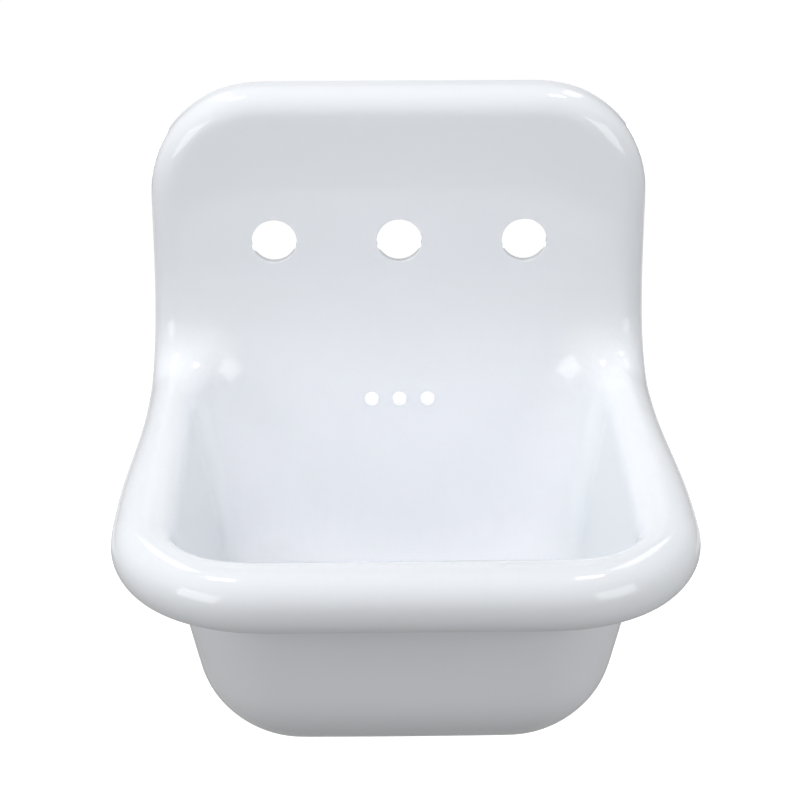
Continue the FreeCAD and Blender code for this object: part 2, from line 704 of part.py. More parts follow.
def waste_flange():
    """Flange, threaded tube and cross bars of the waste in one casting, z = 0 under the flange."""
    low = TUBE_LOW - FLANGE_Z
    groove = low + TAIL
    root = TUBE_R - RELIEF_DEEP
    body = spun([(TUBE_R, low), (TUBE_R, groove), (root, groove), (root, groove + RELIEF),
                 (TUBE_R, groove + RELIEF), (TUBE_R, 0), (FLANGE_R, 0), (FLANGE_R, FLANGE_EDGE),
                 (FLANGE_R - 1.2, FLANGE_EDGE + 1.0), (CONE_R + 1.5, FLANGE_TALL), (CONE_R, FLANGE_TALL),
                 (TUBE_BORE_R, FLANGE_TALL - CONE_DEEP), (TUBE_BORE_R, low)])
    hub_low = HUB_TOP - HUB_TALL
    parts = [body, drum(HUB_R, hub_low, HUB_TOP)]
    for k in range(3):
        bar = box(0, TUBE_BORE_R + 1, -SPOKE / 2, SPOKE / 2, hub_low, HUB_TOP - SPOKE)
        bar.rotate(V(0, 0, 0), Z_AXIS, 120 * k + 30)
        parts.append(bar)
    out = join(parts).cut(drum(STUD_R + THREAD_FREE, hub_low - 1, HUB_TOP + 1))
    z0 = TEE_LOW + TEE_END - FLANGE_Z + 1.5
    z1 = TEE_TOP - TEE_END - FLANGE_Z - 1.5
    for k in range(2):
        slot = box(-TUBE_R - 1, TUBE_R + 1, -SLOT_WIDTH / 2, SLOT_WIDTH / 2, z0, z1)
        slot.rotate(V(0, 0, 0), Z_AXIS, 90 * k + 45)
        out = out.cut(slot)
    return moved(out, 0, -DRAIN_BACK, FLANGE_Z)


def waste_tee():
    """Moulded collar round the waste tube with the lower overflow socket."""
    body = drum(TEE_R, TEE_LOW, TEE_TOP)
    room = ring(TEE_R - TEE_WALL, 0.5, TEE_LOW + TEE_END, TEE_TOP - TEE_END)
    room = room.fuse(drum(TUBE_R + THREAD_FREE, TEE_LOW - 1, TEE_TOP + 1))
    outside, hollow = socket(SOCKET_ROOT)
    stub = at_tee(drum(SOCKET_R, -SOCKET_ROOT, TEE_WALL))
    passage = at_tee(drum(PIPE_BORE_R, -SOCKET_ROOT - 1, TEE_WALL + 5))
    out = join([moved(body, 0, -DRAIN_BACK, 0), at_tee(outside), stub])
    return out.cut(Part.makeCompound([moved(room, 0, -DRAIN_BACK, 0)])).cut(at_tee(hollow)).cut(passage)


def waste_lock_nut():
    """Hexagon nut that clamps the waste from below."""
    corner = NUT_FLATS / math.sqrt(3)
    turns = [math.pi / 3 * k for k in range(7)]
    loop = [V(corner * math.cos(a), corner * math.sin(a), NUT_LOW) for a in turns]
    body = Part.Face(Part.makePolygon(loop)).extrude(V(0, 0, NUT_TALL))
    trim = spun([(0, NUT_LOW), (NUT_FLATS / 2, NUT_LOW), (corner, NUT_LOW + 2),
                 (corner, NUT_TOP), (0, NUT_TOP)])
    body = body.common(trim).cut(drum(TUBE_R + THREAD_FREE, NUT_LOW - 1, NUT_TOP + 1))
    return moved(body, 0, -DRAIN_BACK, 0)


def in_waste(shape):
    """Copy of a stopper piece placed from the flange's underside."""
    return moved(shape, 0, -DRAIN_BACK, FLANGE_Z)


HEAD_TOP = -HEAD_DROP
HEAD_LOW = HEAD_TOP - HEAD_TALL
CONE_SLOPE = CONE_DEEP / (CONE_R - TUBE_BORE_R)
STOP_SEAL_SHUT = (FLANGE_TALL - CONE_DEEP + CONE_SLOPE * (STOP_SEAL_R - TUBE_BORE_R)
                  + CLOSED_FREE * math.hypot(1, CONE_SLOPE))
STOP_SEAL_LOW = STOP_SEAL_SHUT + STROKE
CAP_LOW = STOP_SEAL_LOW + STOP_SEAL_TALL
RETAINER_TOP = HEAD_LOW - STOP_FREE
SLEEVE_LOW = RETAINER_TOP - RETAINER_TALL
SLEEVE_TOP = HEAD_TOP + SLEEVE_SPARE + STROKE


def stopper_post():
    """Fixed post screwed into the cross bars, with a head that carries the friction ring."""
    stud_low = HUB_TOP - HUB_TALL
    groove = HEAD_LOW + HEAD_TALL / 2
    inner = POST_R - 2 * O_RING
    return in_waste(spun([(0, stud_low), (STUD_R, stud_low), (STUD_R, HUB_TOP), (COLLAR_R, HUB_TOP),
                          (COLLAR_R, HUB_TOP + COLLAR_TALL), (NECK_R, HUB_TOP + COLLAR_TALL),
                          (NECK_R, HEAD_LOW), (POST_R, HEAD_LOW), (POST_R, groove - O_RING),
                          (inner, groove - O_RING),
                          (inner, groove + O_RING), (POST_R, groove + O_RING), (POST_R, HEAD_TOP - 1),
                          (POST_R - 1, HEAD_TOP), (0, HEAD_TOP)]))


def stopper_friction_ring():
    """Rubber ring in the post's groove."""
    return in_waste(Part.makeTorus(POST_R - O_RING, O_RING, V(0, 0, HEAD_LOW + HEAD_TALL / 2)))


def stopper_cap():
    """Cap, pull knob and sleeve that slide on the post, drawn open."""
    bore = POST_R + SLIDE_FREE
    top = CAP_LOW + CAP_THICK
    knob = top + KNOB_TALL
    return in_waste(spun([(bore, RETAINER_TOP), (RETAINER_R, RETAINER_TOP), (RETAINER_R, SLEEVE_LOW),
                          (SLEEVE_R, SLEEVE_LOW), (SLEEVE_R, CAP_LOW), (CAP_R, CAP_LOW),
                          (CAP_R, CAP_LOW + CAP_THICK / 2),
                          (CAP_R - 1.5, top - 1.0), (CAP_R / 2, top), (KNOB_WAIST + 1.2, top + 0.8),
                          (KNOB_WAIST, top + 2.2), (KNOB_WAIST, knob - 6.0), (KNOB_R - 0.8, knob - 4.4),
                          (KNOB_R, knob - 3.2), (KNOB_R - 0.4, knob - 1.6), (KNOB_R - 2.2, knob - 0.5),
                          (0, knob), (0, SLEEVE_TOP), (bore, SLEEVE_TOP)]))


def stopper_seal():
    """Rubber washer under the cap that closes the flange's mouth."""
    top = STOP_SEAL_LOW + STOP_SEAL_TALL
    wide = STOP_SEAL_R + STOP_SEAL_TALL / CONE_SLOPE
    return in_waste(spun([(SLEEVE_R, STOP_SEAL_LOW), (STOP_SEAL_R, STOP_SEAL_LOW), (wide, top),
                          (SLEEVE_R, top)]))


def stopper_retainer():
    """Ring pressed into the sleeve that keeps the cap on the post."""
    return in_waste(ring(RETAINER_R, NECK_R + RETAINER_FREE, SLEEVE_LOW, RETAINER_TOP))


def waste_ring(r_out, r_in, z0, z1):
    """Washer or seal on the drain's axis."""
    return moved(ring(r_out, r_in, z0, z1), 0, -DRAIN_BACK, 0)


PIECES = {
    "basin": basin(),
    "wall_hanger": wall_hanger(),
    "overflow_gasket": overflow_gasket(),
    "overflow_housing": overflow_housing(),
    "overflow_screws": overflow_screws(),
    "overflow_pipe": overflow_pipe(),
    "overflow_nut_top": at_housing(union_nut()),
    "overflow_ring_top": at_housing(union_ring()),
    "overflow_nut_bottom": at_tee(union_nut()),
    "overflow_ring_bottom": at_tee(union_ring()),
    "waste_flange": waste_flange(),
    "waste_flange_seal": waste_ring(FLANGE_R - 1, TUBE_R, SEAT_Z, FLANGE_Z),
    "waste_tee_seal": waste_ring(TEE_R - 1, TUBE_R, TEE_TOP, BOSS_Z),
    "waste_tee": waste_tee(),
    "waste_tee_washer": waste_ring(TEE_R - 3, TUBE_R, NUT_TOP, TEE_LOW),
    "waste_lock_nut": waste_lock_nut(),
    "stopper_post": stopper_post(),
    "stopper_friction_ring": stopper_friction_ring(),
    "stopper_cap": stopper_cap(),
    "stopper_seal": stopper_seal(),
    "stopper_retainer": stopper_retainer(),
}

for name, shape in PIECES.items():
    moved(shape, 0, 0, -HANGER_HEIGHT).exportStep("parts/" + name + ".step")
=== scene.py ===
"""Enamelled iron wall sink: finishes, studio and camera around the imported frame."""
import logging
import math
from dataclasses import dataclass, field, replace
from enum import Enum

import bmesh
import bpy
import numpy as np
from mathutils import Euler, Matrix, Vector


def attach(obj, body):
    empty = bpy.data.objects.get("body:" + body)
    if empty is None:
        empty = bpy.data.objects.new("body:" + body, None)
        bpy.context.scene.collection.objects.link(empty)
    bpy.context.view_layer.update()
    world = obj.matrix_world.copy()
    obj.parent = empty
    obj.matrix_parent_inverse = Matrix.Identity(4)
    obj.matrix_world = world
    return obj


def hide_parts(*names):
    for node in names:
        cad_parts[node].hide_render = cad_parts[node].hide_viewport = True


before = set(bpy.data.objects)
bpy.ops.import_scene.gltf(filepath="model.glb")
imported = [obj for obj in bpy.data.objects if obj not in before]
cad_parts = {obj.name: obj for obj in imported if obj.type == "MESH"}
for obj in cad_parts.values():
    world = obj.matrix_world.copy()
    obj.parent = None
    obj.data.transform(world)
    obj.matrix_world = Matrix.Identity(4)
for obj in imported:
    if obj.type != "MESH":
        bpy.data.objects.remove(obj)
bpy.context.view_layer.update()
LOG = logging.getLogger("wall_sink")
MM = 0.001
TINY = 1e-9
WELD_MM = 1e-4
WELD_M = 1e-6
FLAT_DEG = 0.5
SHARP_DEG = 32.0
Point = tuple[float, float, float]
Triple = tuple[np.ndarray, np.ndarray, np.ndarray]
Tree = bpy.types.NodeTree
Socket = bpy.types.NodeSocket
Material = bpy.types.Material
Mesh = bpy.types.Mesh
Piece = bpy.types.Object
Draft = bmesh.types.BMesh


class Body(Enum):
    """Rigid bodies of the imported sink."""

    SINK = "sink"
    STOPPER = "stopper"


class Effect(Enum):
    """Names of the shared shader groups."""

    GLAZE = "glaze_waver"
    GRAIN = "fine_grain"
    SMUDGE = "handling_smudge"
    THREAD = "tail_thread"


def feed(tree: Tree, target: Socket, value: Socket | float) -> None:
    """Link a value to a socket, or set a fixed number there.

    Args:
        tree: nodes that hold the socket.
        target: socket that takes the value.
        value: another socket, or a number.
    """
    if isinstance(value, float):
        target.default_value = value
    else:
        tree.links.new(value, target)


def math_node(tree: Tree, operation: str, first: Socket, second: Socket | float) -> Socket:
    """Add a math node on two values.

    Args:
        tree: nodes to add to.
        operation: Blender's name of the operation.
        first: first value.
        second: second value, or a fixed number.

    Returns:
        The result.
    """
    node = tree.nodes.new("ShaderNodeMath")
    node.operation = operation
    feed(tree, node.inputs[0], first)
    feed(tree, node.inputs[1], second)
    return node.outputs["Value"]


class ShaderGroups:
    """Builds each shared surface effect once and hands it out."""

    def __init__(self) -> None:
        """Start with no group built."""
        self.built: dict[Effect, Tree] = {}

    def get(self, effect: Effect) -> Tree:
        """Return the group of an effect, building it on first use.

        Args:
            effect: the wanted effect.

        Returns:
            The shader node group.
        """
        if effect not in self.built:
            makers = {Effect.GLAZE: self._glaze, Effect.GRAIN: self._grain,
                      Effect.SMUDGE: self._smudge, Effect.THREAD: self._thread}
            self.built[effect] = makers[effect](effect.value)
        return self.built[effect]

    @staticmethod
    def _open(name: str, inputs: dict[str, float], outputs: list[str]) -> Tree:
        """Make an empty group with float sockets and object coordinates inside.

        Args:
            name: name of the group.
            inputs: input names with their defaults.
            outputs: output names.

        Returns:
            The new group with its input and output nodes.
        """
        tree = bpy.data.node_groups.new(name, "ShaderNodeTree")
        for label, default in inputs.items():
            socket = tree.interface.new_socket(label, in_out="INPUT", socket_type="NodeSocketFloat")
            socket.default_value = default
        for label in outputs:
            tree.interface.new_socket(label, in_out="OUTPUT", socket_type="NodeSocketFloat")
        tree.nodes.new("NodeGroupInput").name = "in"
        tree.nodes.new("NodeGroupOutput").name = "out"
        tree.nodes.new("ShaderNodeTexCoord").name = "place"
        return tree

    @staticmethod
    def _noise(tree: Tree, scale: Socket | float, detail: float) -> Socket:
        """Add a noise texture on object coordinates.

        Args:
            tree: group to add to.
            scale: waves of the pattern per metre.
            detail: octaves.

        Returns:
            The noise's value.
        """
        noise = tree.nodes.new("ShaderNodeTexNoise")
        noise.inputs["Detail"].default_value = detail
        feed(tree, noise.inputs["Scale"], scale)
        feed(tree, noise.inputs["Vector"], tree.nodes["place"].outputs["Object"])
        return noise.outputs["Fac"]

    @staticmethod
    def _spread(tree: Tree, value: Socket, low: str, high: str) -> Socket:
        """Map a 0 to 1 value between two group inputs.

        Args:
            tree: group to add to.
            value: the value to map.
            low: input name of the result at 0.
            high: input name of the result at 1.

        Returns:
            The mapped output.
        """
        span = tree.nodes.new("ShaderNodeMapRange")
        tree.links.new(value, span.inputs["Value"])
        tree.links.new(tree.nodes["in"].outputs[low], span.inputs["To Min"])
        tree.links.new(tree.nodes["in"].outputs[high], span.inputs["To Max"])
        return span.outputs["Result"]

    def _glaze(self, name: str) -> Tree:
        """Slow waver of a fired glaze: a height and a thickness mask.

        Args:
            name: name of the group.

        Returns:
            The shader node group.
        """
        tree = self._open(name, {"Scale": 14.0, "Thin": 0.0, "Thick": 1.0}, ["Height", "Thickness"])
        wave = self._noise(tree, scale=tree.nodes["in"].outputs["Scale"], detail=1.0)
        pool = self._noise(tree, scale=5.0, detail=2.0)
        mask = self._spread(tree, pool, "Thin", "Thick")
        tree.links.new(wave, tree.nodes["out"].inputs["Height"])
        tree.links.new(mask, tree.nodes["out"].inputs["Thickness"])
        return tree

    def _mottle(self, tree: Tree) -> None:
        """Feed a group's mottle mask from a broad noise.

        Args:
            tree: group with the inputs Low and High and the output Mottle.
        """
        broad = self._noise(tree, scale=40.0, detail=4.0)
        mask = self._spread(tree, broad, "Low", "High")
        tree.links.new(mask, tree.nodes["out"].inputs["Mottle"])

    def _grain(self, name: str) -> Tree:
        """Fine grain of a cast, moulded or rolled skin: a height and a mottle mask.

        Args:
            name: name of the group.

        Returns:
            The shader node group.
        """
        tree = self._open(name, {"Scale": 900.0, "Low": 0.0, "High": 1.0}, ["Height", "Mottle"])
        fine = self._noise(tree, scale=tree.nodes["in"].outputs["Scale"], detail=3.0)
        tree.links.new(fine, tree.nodes["out"].inputs["Height"])
        self._mottle(tree)
        return tree

    def _smudge(self, name: str) -> Tree:
        """Uneven polish from handling: a roughness value.

        Args:
            name: name of the group.

        Returns:
            The shader node group.
        """
        tree = self._open(name, {"Clean": 0.05, "Dull": 0.15}, ["Roughness"])
        cloud = self._noise(tree, scale=22.0, detail=5.0)
        polish = self._spread(tree, cloud, "Clean", "Dull")
        tree.links.new(polish, tree.nodes["out"].inputs["Roughness"])
        return tree

    def _thread(self, name: str) -> Tree:
        """Ridges of a pipe thread under a level: a height and a mottle mask.

        Args:
            name: name of the group.

        Returns:
            The shader node group.
        """
        inputs = {"Scale": 450.0, "Level": -0.3985, "Low": 0.0, "High": 1.0}
        tree = self._open(name, inputs, ["Height", "Mottle"])
        source = tree.nodes["in"].outputs
        parts = tree.nodes.new("ShaderNodeSeparateXYZ")
        tree.links.new(tree.nodes["place"].outputs["Object"], parts.inputs["Vector"])
        turns = math_node(tree, "MULTIPLY", parts.outputs["Z"], source["Scale"])
        under = math_node(tree, "LESS_THAN", parts.outputs["Z"], source["Level"])
        ridge = math_node(tree, "PINGPONG", turns, 0.5)  # rises and falls once in each pitch
        height = math_node(tree, "MULTIPLY", ridge, under)
        tree.links.new(height, tree.nodes["out"].inputs["Height"])
        self._mottle(tree)
        return tree


@dataclass(frozen=True)
class Finish:
    """One surface finish, made into a node material on demand."""

    name: str
    light: Point
    dark: Point
    clean: float
    dull: float
    scale: float
    bump: float
    effect: Effect = Effect.GRAIN
    depth_mm: float = 0.2
    metallic: float = 0.0
    specular: float = 0.5
    transmission: float = 0.0
    ior: float = 1.5

    def material(self, groups: ShaderGroups) -> Material:
        """Build the material.

        Args:
            groups: shared shader groups.

        Returns:
            The node material.
        """
        mat = bpy.data.materials.new(self.name)
        mat.use_nodes = True
        tree = mat.node_tree
        shader = tree.nodes["Principled BSDF"]
        shader.inputs["Metallic"].default_value = self.metallic
        shader.inputs["Specular IOR Level"].default_value = self.specular
        shader.inputs["Transmission Weight"].default_value = self.transmission
        shader.inputs["IOR"].default_value = self.ior
        skin = self._group(tree, groups.get(self.effect), {"Scale": self.scale})
        smudge = self._group(tree, groups.get(Effect.SMUDGE), {"Clean": self.clean, "Dull": self.dull})
        mix = tree.nodes.new("ShaderNodeMix")
        mix.data_type = "RGBA"
        mix.inputs["A"].default_value = (*self.dark, 1.0)
        mix.inputs["B"].default_value = (*self.light, 1.0)
        mask = "Thickness" if self.effect is Effect.GLAZE else "Mottle"
        tree.links.new(skin.outputs[mask], mix.inputs["Factor"])
        tree.links.new(mix.outputs["Result"], shader.inputs["Base Color"])
        tree.links.new(smudge.outputs["Roughness"], shader.inputs["Roughness"])
        bump = tree.nodes.new("ShaderNodeBump")
        bump.inputs["Strength"].default_value = self.bump
        bump.inputs["Distance"].default_value = self.depth_mm * MM
        tree.links.new(skin.outputs["Height"], bump.inputs["Height"])
        tree.links.new(bump.outputs["Normal"], shader.inputs["Normal"])
        return mat

    @staticmethod
    def _group(tree: Tree, group: Tree, values: dict[str, float]) -> bpy.types.Node:
        """Place a shared group in a material.

        Args:
            tree: the material's nodes.
            group: the shared group.
            values: this material's own input values.

        Returns:
            The group node.
        """
        node = tree.nodes.new("ShaderNodeGroup")
        node.node_tree = group
        for label, value in values.items():
            node.inputs[label].default_value = value
        return node


ENAMEL = Finish("white_enamel", light=(0.871, 0.895, 0.93), dark=(0.852, 0.876, 0.912),
                clean=0.01, dull=0.03, scale=16.0, bump=0.05, effect=Effect.GLAZE, depth_mm=0.5)
REAR_PAINT = Finish("satin_rear_paint", light=(0.80, 0.81, 0.83), dark=(0.74, 0.75, 0.77),
                    clean=0.42, dull=0.55, scale=600.0, bump=0.35, specular=0.25)
ZINC = Finish("zinc_plate", light=(0.66, 0.67, 0.69), dark=(0.52, 0.53, 0.55),
              clean=0.28, dull=0.42, scale=500.0, bump=0.15, metallic=1.0)
STAINLESS = Finish("stainless_screw", light=(0.72, 0.72, 0.73), dark=(0.62, 0.62, 0.63),
                   clean=0.20, dull=0.30, scale=900.0, bump=0.1, metallic=1.0)
RUBBER = Finish("black_rubber", light=(0.035, 0.035, 0.037), dark=(0.022, 0.022, 0.024),
                clean=0.55, dull=0.75, scale=900.0, bump=0.2)
FIBRE = Finish("red_fibre", light=(0.40, 0.11, 0.075), dark=(0.28, 0.075, 0.05),
               clean=0.6, dull=0.8, scale=700.0, bump=0.3)
MILKY = Finish("milky_plastic", light=(0.995, 0.997, 1.0), dark=(0.98, 0.985, 0.99),
               clean=0.12, dull=0.20, scale=800.0, bump=0.05, transmission=1.0, ior=1.34)
WHITE_PLASTIC = Finish("white_plastic", light=(0.80, 0.80, 0.79), dark=(0.75, 0.75, 0.74),
                       clean=0.28, dull=0.4, scale=800.0, bump=0.12)
GREY_PLASTIC = Finish("grey_plastic", light=(0.36, 0.38, 0.40), dark=(0.30, 0.32, 0.34),
                      clean=0.35, dull=0.5, scale=800.0, bump=0.15)
CHROME = Finish("chrome_plate", light=(0.88, 0.89, 0.90), dark=(0.84, 0.85, 0.87),
                clean=0.03, dull=0.08, scale=300.0, bump=0.01, metallic=1.0)
THREADED = replace(CHROME, name="threaded_chrome", scale=450.0, bump=0.8, effect=Effect.THREAD, depth_mm=1.2)
BRASS = Finish("turned_brass", light=(0.80, 0.60, 0.27), dark=(0.66, 0.47, 0.19),
               clean=0.18, dull=0.32, scale=800.0, bump=0.08, metallic=1.0)


class Palette:
    """Builds the material of each finish once and hands it out."""

    def __init__(self) -> None:
        """Start with no material built."""
        self.groups = ShaderGroups()
        self.built: dict[Finish, Material] = {}

    def get(self, finish: Finish) -> Material:
        """Return the material of a finish, building it on first use.

        Args:
            finish: the wanted finish.

        Returns:
            The node material.
        """
        if finish not in self.built:
            self.built[finish] = finish.material(self.groups)
        return self.built[finish]


class Forge:
    """Small bmesh helpers shared by the sub-assemblies."""

    @staticmethod
    def lathe(profile: list[tuple[float, float]], steps: int = 64) -> Draft:
        """Turn a closed (radius, height) outline about the z axis.

        Args:
            profile: corners in millimetres; ends on the axis are merged.
            steps: segments round.

        Returns:
            A closed mesh in millimetres.
        """
        mesh = bmesh.new()
        verts = [mesh.verts.new((r, 0.0, z)) for r, z in profile]
        edges = [mesh.edges.new((a, b)) for a, b in zip(verts, verts[1:])]
        bmesh.ops.spin(mesh, geom=verts + edges, cent=(0, 0, 0), axis=(0, 0, 1), angle=math.tau,
                       steps=steps, use_merge=True)
        bmesh.ops.remove_doubles(mesh, verts=mesh.verts[:], dist=WELD_MM)
        bmesh.ops.recalc_face_normals(mesh, faces=mesh.faces[:])
        return mesh

    @staticmethod
    def merge(parts: list[Draft], name: str) -> Mesh:
        """Join meshes into one datablock and free them.

        Args:
            parts: meshes to join.
            name: name of the datablock.

        Returns:
            The joined mesh data.
        """
        joined = bmesh.new()
        for part in parts:
            scratch = bpy.data.meshes.new("scratch")
            part.to_mesh(scratch)
            part.free()
            joined.from_mesh(scratch)
            bpy.data.meshes.remove(scratch)
        data = bpy.data.meshes.new(name)
        joined.to_mesh(data)
        joined.free()
        return data

    @staticmethod
    def link(name: str, data: Mesh) -> Piece:
        """Link a mesh to the scene as an object at the origin.

        Args:
            name: name of the object.
            data: its mesh.

        Returns:
            The new object.
        """
        obj = bpy.data.objects.new(name, data)
        bpy.context.scene.collection.objects.link(obj)
        return obj

    @staticmethod
    def crisp(data: Mesh) -> None:
        """Shade a mesh smooth, with sharp edges past the sharp angle.

        Args:
            data: mesh to shade.
        """
        mesh = bmesh.new()
        mesh.from_mesh(data)
        limit = math.radians(SHARP_DEG)
        for face in mesh.faces:
            face.smooth = True
        for edge in mesh.edges:
            edge.smooth = len(edge.link_faces) == 2 and edge.calc_face_angle(0.0) < limit
        mesh.to_mesh(data)
        mesh.free()


@dataclass
class BasinShape:
    """The casting's form in millimetres above the rim: a folded shelf and back with a bowl sunk into it."""

    rim_width: float = 434.0
    back_width: float = 402.0
    reach: float = 434.0
    back_height: float = 224.0
    standoff: float = 32.0
    wall: float = 7.0
    rim_roll: float = 24.0
    back_roll: float = 20.5
    rim_curl: float = 46.0
    front_corner: float = 114.0
    top_corner: float = 88.0
    neck_front: float = 252.0
    neck_back: float = 8.0
    fade_front: float = 36.0
    fade_back: float = 83.0
    lip_round: float = 1.3
    bowl_width: float = 350.0
    bowl_narrow: float = 0.015
    bowl_depth: float = 194.5
    front_land: float = 52.0
    side_draft: float = 11.0
    front_draft: float = 9.4
    floor_fall: float = 0.02
    back_tilt: float = 10.0
    tilt_height: float = 65.5
    shelf_bend: float = 38.0
    shelf_bend_least: float = 7.6
    back_bend: float = 150.0
    edge_round: float = 20.0
    corner_round: float = 58.5
    floor_round: float = 59.0
    drain_back: float = 185.0
    ring: float = 14.0
    stations: int = 72
    bowl_rows: int = 44
    roll_rows: int = 8
    curl_rows: int = 5
    corner_steps: int = 60
    side_steps: int = 240
    line_steps: int = 110
    halvings: int = 40

    def __post_init__(self) -> None:
        """Work out the fold line from the sizes."""
        self.tilt = math.radians(self.back_tilt)
        self.lean = math.pi / 2 - self.tilt
        back_tangent = self.back_bend * math.tan(self.tilt / 2)
        shelf_tangent = self.shelf_bend * math.tan(self.lean / 2)
        self.foot = -self.standoff - self.tilt_height * math.tan(self.tilt)
        self.shelf_end = self.foot - shelf_tangent
        self.back_centre = (-self.standoff - self.back_bend, self.tilt_height + back_tangent)
        leaning = self.tilt_height / math.cos(self.tilt) - shelf_tangent - back_tangent
        self.s_lean = self.shelf_bend * self.lean
        self.s_bend = self.s_lean + leaning
        self.s_upright = self.s_bend + self.back_bend * self.tilt

    @staticmethod
    def blend(t: np.ndarray) -> np.ndarray:
        """Smooth step from 0 to 1 with level ends."""
        t = np.clip(t, 0.0, 1.0)
        return t * t * t * (t * (6 * t - 15) + 10)

    def fold(self, s: np.ndarray) -> Triple:
        """Follow the fold line.

        Args:
            s: lengths along it, 0 where the shelf starts to bend up.

        Returns:
            y, z and slope angle at each length.
        """
        first = np.clip(s / self.shelf_bend, 0.0, self.lean)
        second = np.clip((s - self.s_bend) / self.back_bend, 0.0, self.tilt)
        middle = np.clip(s - self.s_lean, 0.0, self.s_bend - self.s_lean)
        y = (self.shelf_end + np.minimum(s, 0.0) + self.shelf_bend * np.sin(first)
             + middle * math.cos(self.lean)
             + self.back_bend * (np.sin(self.lean + second) - math.sin(self.lean)))
        z = (self.shelf_bend * (1 - np.cos(first)) + middle * math.sin(self.lean)
             + self.back_bend * (math.cos(self.lean) - np.cos(self.lean + second))
             + np.maximum(s - self.s_upright, 0.0))
        return y, z, first + second

    def ahead_of_back(self, y: np.ndarray, z: np.ndarray) -> Triple:
        """Distance in front of the back and its direction.

        Args:
            y: places across the wall's normal.
            z: heights.

        Returns:
            Distance and the y and z parts of its direction.
        """
        dy, dz = y - self.back_centre[0], z - self.back_centre[1]
        r = np.maximum(np.hypot(dy, dz), TINY)
        turn = np.arctan2(dy, -dz)
        upright = dz >= 0
        arc = ~upright & (dy > 0) & (turn >= self.lean)
        run = -self.standoff - (self.tilt_height - z) * math.tan(self.tilt) - y
        leaning = np.where(arc, self.back_bend - r, run * math.cos(self.tilt))
        dist = np.where(upright, -self.standoff - y, leaning)
        gy = np.where(upright, -1.0, np.where(arc, -dy / r, -math.cos(self.tilt)))
        gz = np.where(upright, 0.0, np.where(arc, -dz / r, math.sin(self.tilt)))
        return dist, gy, gz

    def shoulder(self, x: np.ndarray) -> np.ndarray:
        """Share of the shelf's bend at x, from 0 between the bowl's rear corners to 1 past its sides."""
        t = np.clip((np.abs(x) - self.bowl_width / 2 + self.corner_round) / self.corner_round, 0.0, 1.0)
        return np.sqrt(t * (2 - t))

    def above_shelf(self, x: np.ndarray, y: np.ndarray, z: np.ndarray) -> Triple:
        """Distance above the shelf and back, and its direction.

        Args:
            x: places to the right.
            y: places across the wall's normal.
            z: heights.

        Returns:
            Distance and the y and z parts of its direction.
        """
        bend = np.maximum(self.shelf_bend_least, self.shelf_bend * self.shoulder(x))
        dy, dz = y - self.foot + bend * math.tan(self.lean / 2), z - bend
        r = np.maximum(np.hypot(dy, dz), TINY)
        flat = dy <= 0
        arc = ~flat & (dz < 0) & (np.arctan2(dy, -dz) <= self.lean)
        back = self.ahead_of_back(y, z)
        dist = np.where(flat, z, np.where(arc, bend - r, back[0]))
        gy = np.where(flat, 0.0, np.where(arc, -dy / r, back[1]))
        gz = np.where(flat, 1.0, np.where(arc, -dz / r, back[2]))
        return dist, gy, gz

    @staticmethod
    def rounded_inside(walls: list[tuple[np.ndarray, list]], radius: float) -> tuple[np.ndarray, list]:
        """Distance inside walls whose meeting corners are rounded.

        Args:
            walls: distance and direction of each wall.
            radius: rounding radius.

        Returns:
            Distance and direction.
        """
        near = [np.maximum(radius - d, 0.0) for d, n in walls]
        size = np.sqrt(sum(u * u for u in near))
        safe = np.maximum(size, TINY)
        direction = [sum(u * n[k] for u, (d, n) in zip(near, walls)) / safe for k in range(3)]
        deepest = np.minimum.reduce([d for d, n in walls])
        return np.where(size > 0, radius - size, deepest), direction

    def air(self, x: np.ndarray, y: np.ndarray, z: np.ndarray) -> np.ndarray:
        """Positive in the open space above the enamel.

        Args:
            x: places to the right.
            y: places towards the wall.
            z: heights.

        Returns:
            Signed distance-like values.
        """
        side, front = math.radians(self.side_draft), math.radians(self.front_draft)
        back, back_y, back_z = self.ahead_of_back(y, z)
        inward = y + self.reach - self.front_land
        half_width = self.bowl_width / 2 - self.bowl_narrow * inward + z * math.tan(side)
        across = (half_width - np.abs(x)) * math.cos(side)
        along = (inward + z * math.tan(front)) * math.cos(front)
        walls = [(across, [-np.sign(x) * math.cos(side), 0.0, math.sin(side)]),
                 (along, [0.0, math.cos(front), math.sin(front)]),
                 (back, [0.0, back_y, back_z])]
        floor = z + self.bowl_depth - self.floor_fall * np.hypot(x, y + self.drain_back)
        sides = self.rounded_inside(walls, self.corner_round)
        bowl, n = self.rounded_inside([sides, (floor, [0.0, 0.0, 1.0])], self.floor_round)
        shelf, shelf_y, shelf_z = self.above_shelf(x, y, z)
        same = np.maximum(0.0, shelf_y * n[1] + shelf_z * n[2])
        clear = np.clip(back / self.corner_round - 1, 0.0, 1.0)
        kept = np.minimum(1.0, 2 * self.shoulder(x) + clear)
        r = self.edge_round * kept * np.maximum(0.0, 1 - same * same)
        either = np.maximum(shelf, bowl)
        return np.minimum(-r, either) + np.hypot(np.maximum(r + shelf, 0.0), np.maximum(r + bowl, 0.0))

    def enamel(self, x: np.ndarray, s: np.ndarray) -> np.ndarray:
        """Points of the enamelled face under unfolded places.

        Args:
            x: places to the right.
            s: lengths along the fold line.

        Returns:
            Points, last axis x, y, z.
        """
        y, z, angle = self.fold(s)
        down_y, down_z = np.sin(angle), -np.cos(angle)
        low = np.zeros_like(y)
        high = np.full_like(y, 2 * self.bowl_depth)
        for _ in range(self.halvings):
            mid = (low + high) / 2
            open_here = self.air(x, y + mid * down_y, z + mid * down_z) > TINY
            low = np.where(open_here, mid, low)
            high = np.where(open_here, high, mid)
        low = np.where(self.air(x, y, z) <= TINY, 0.0, low)
        return np.stack([x, y + low * down_y, z + low * down_z], axis=-1)

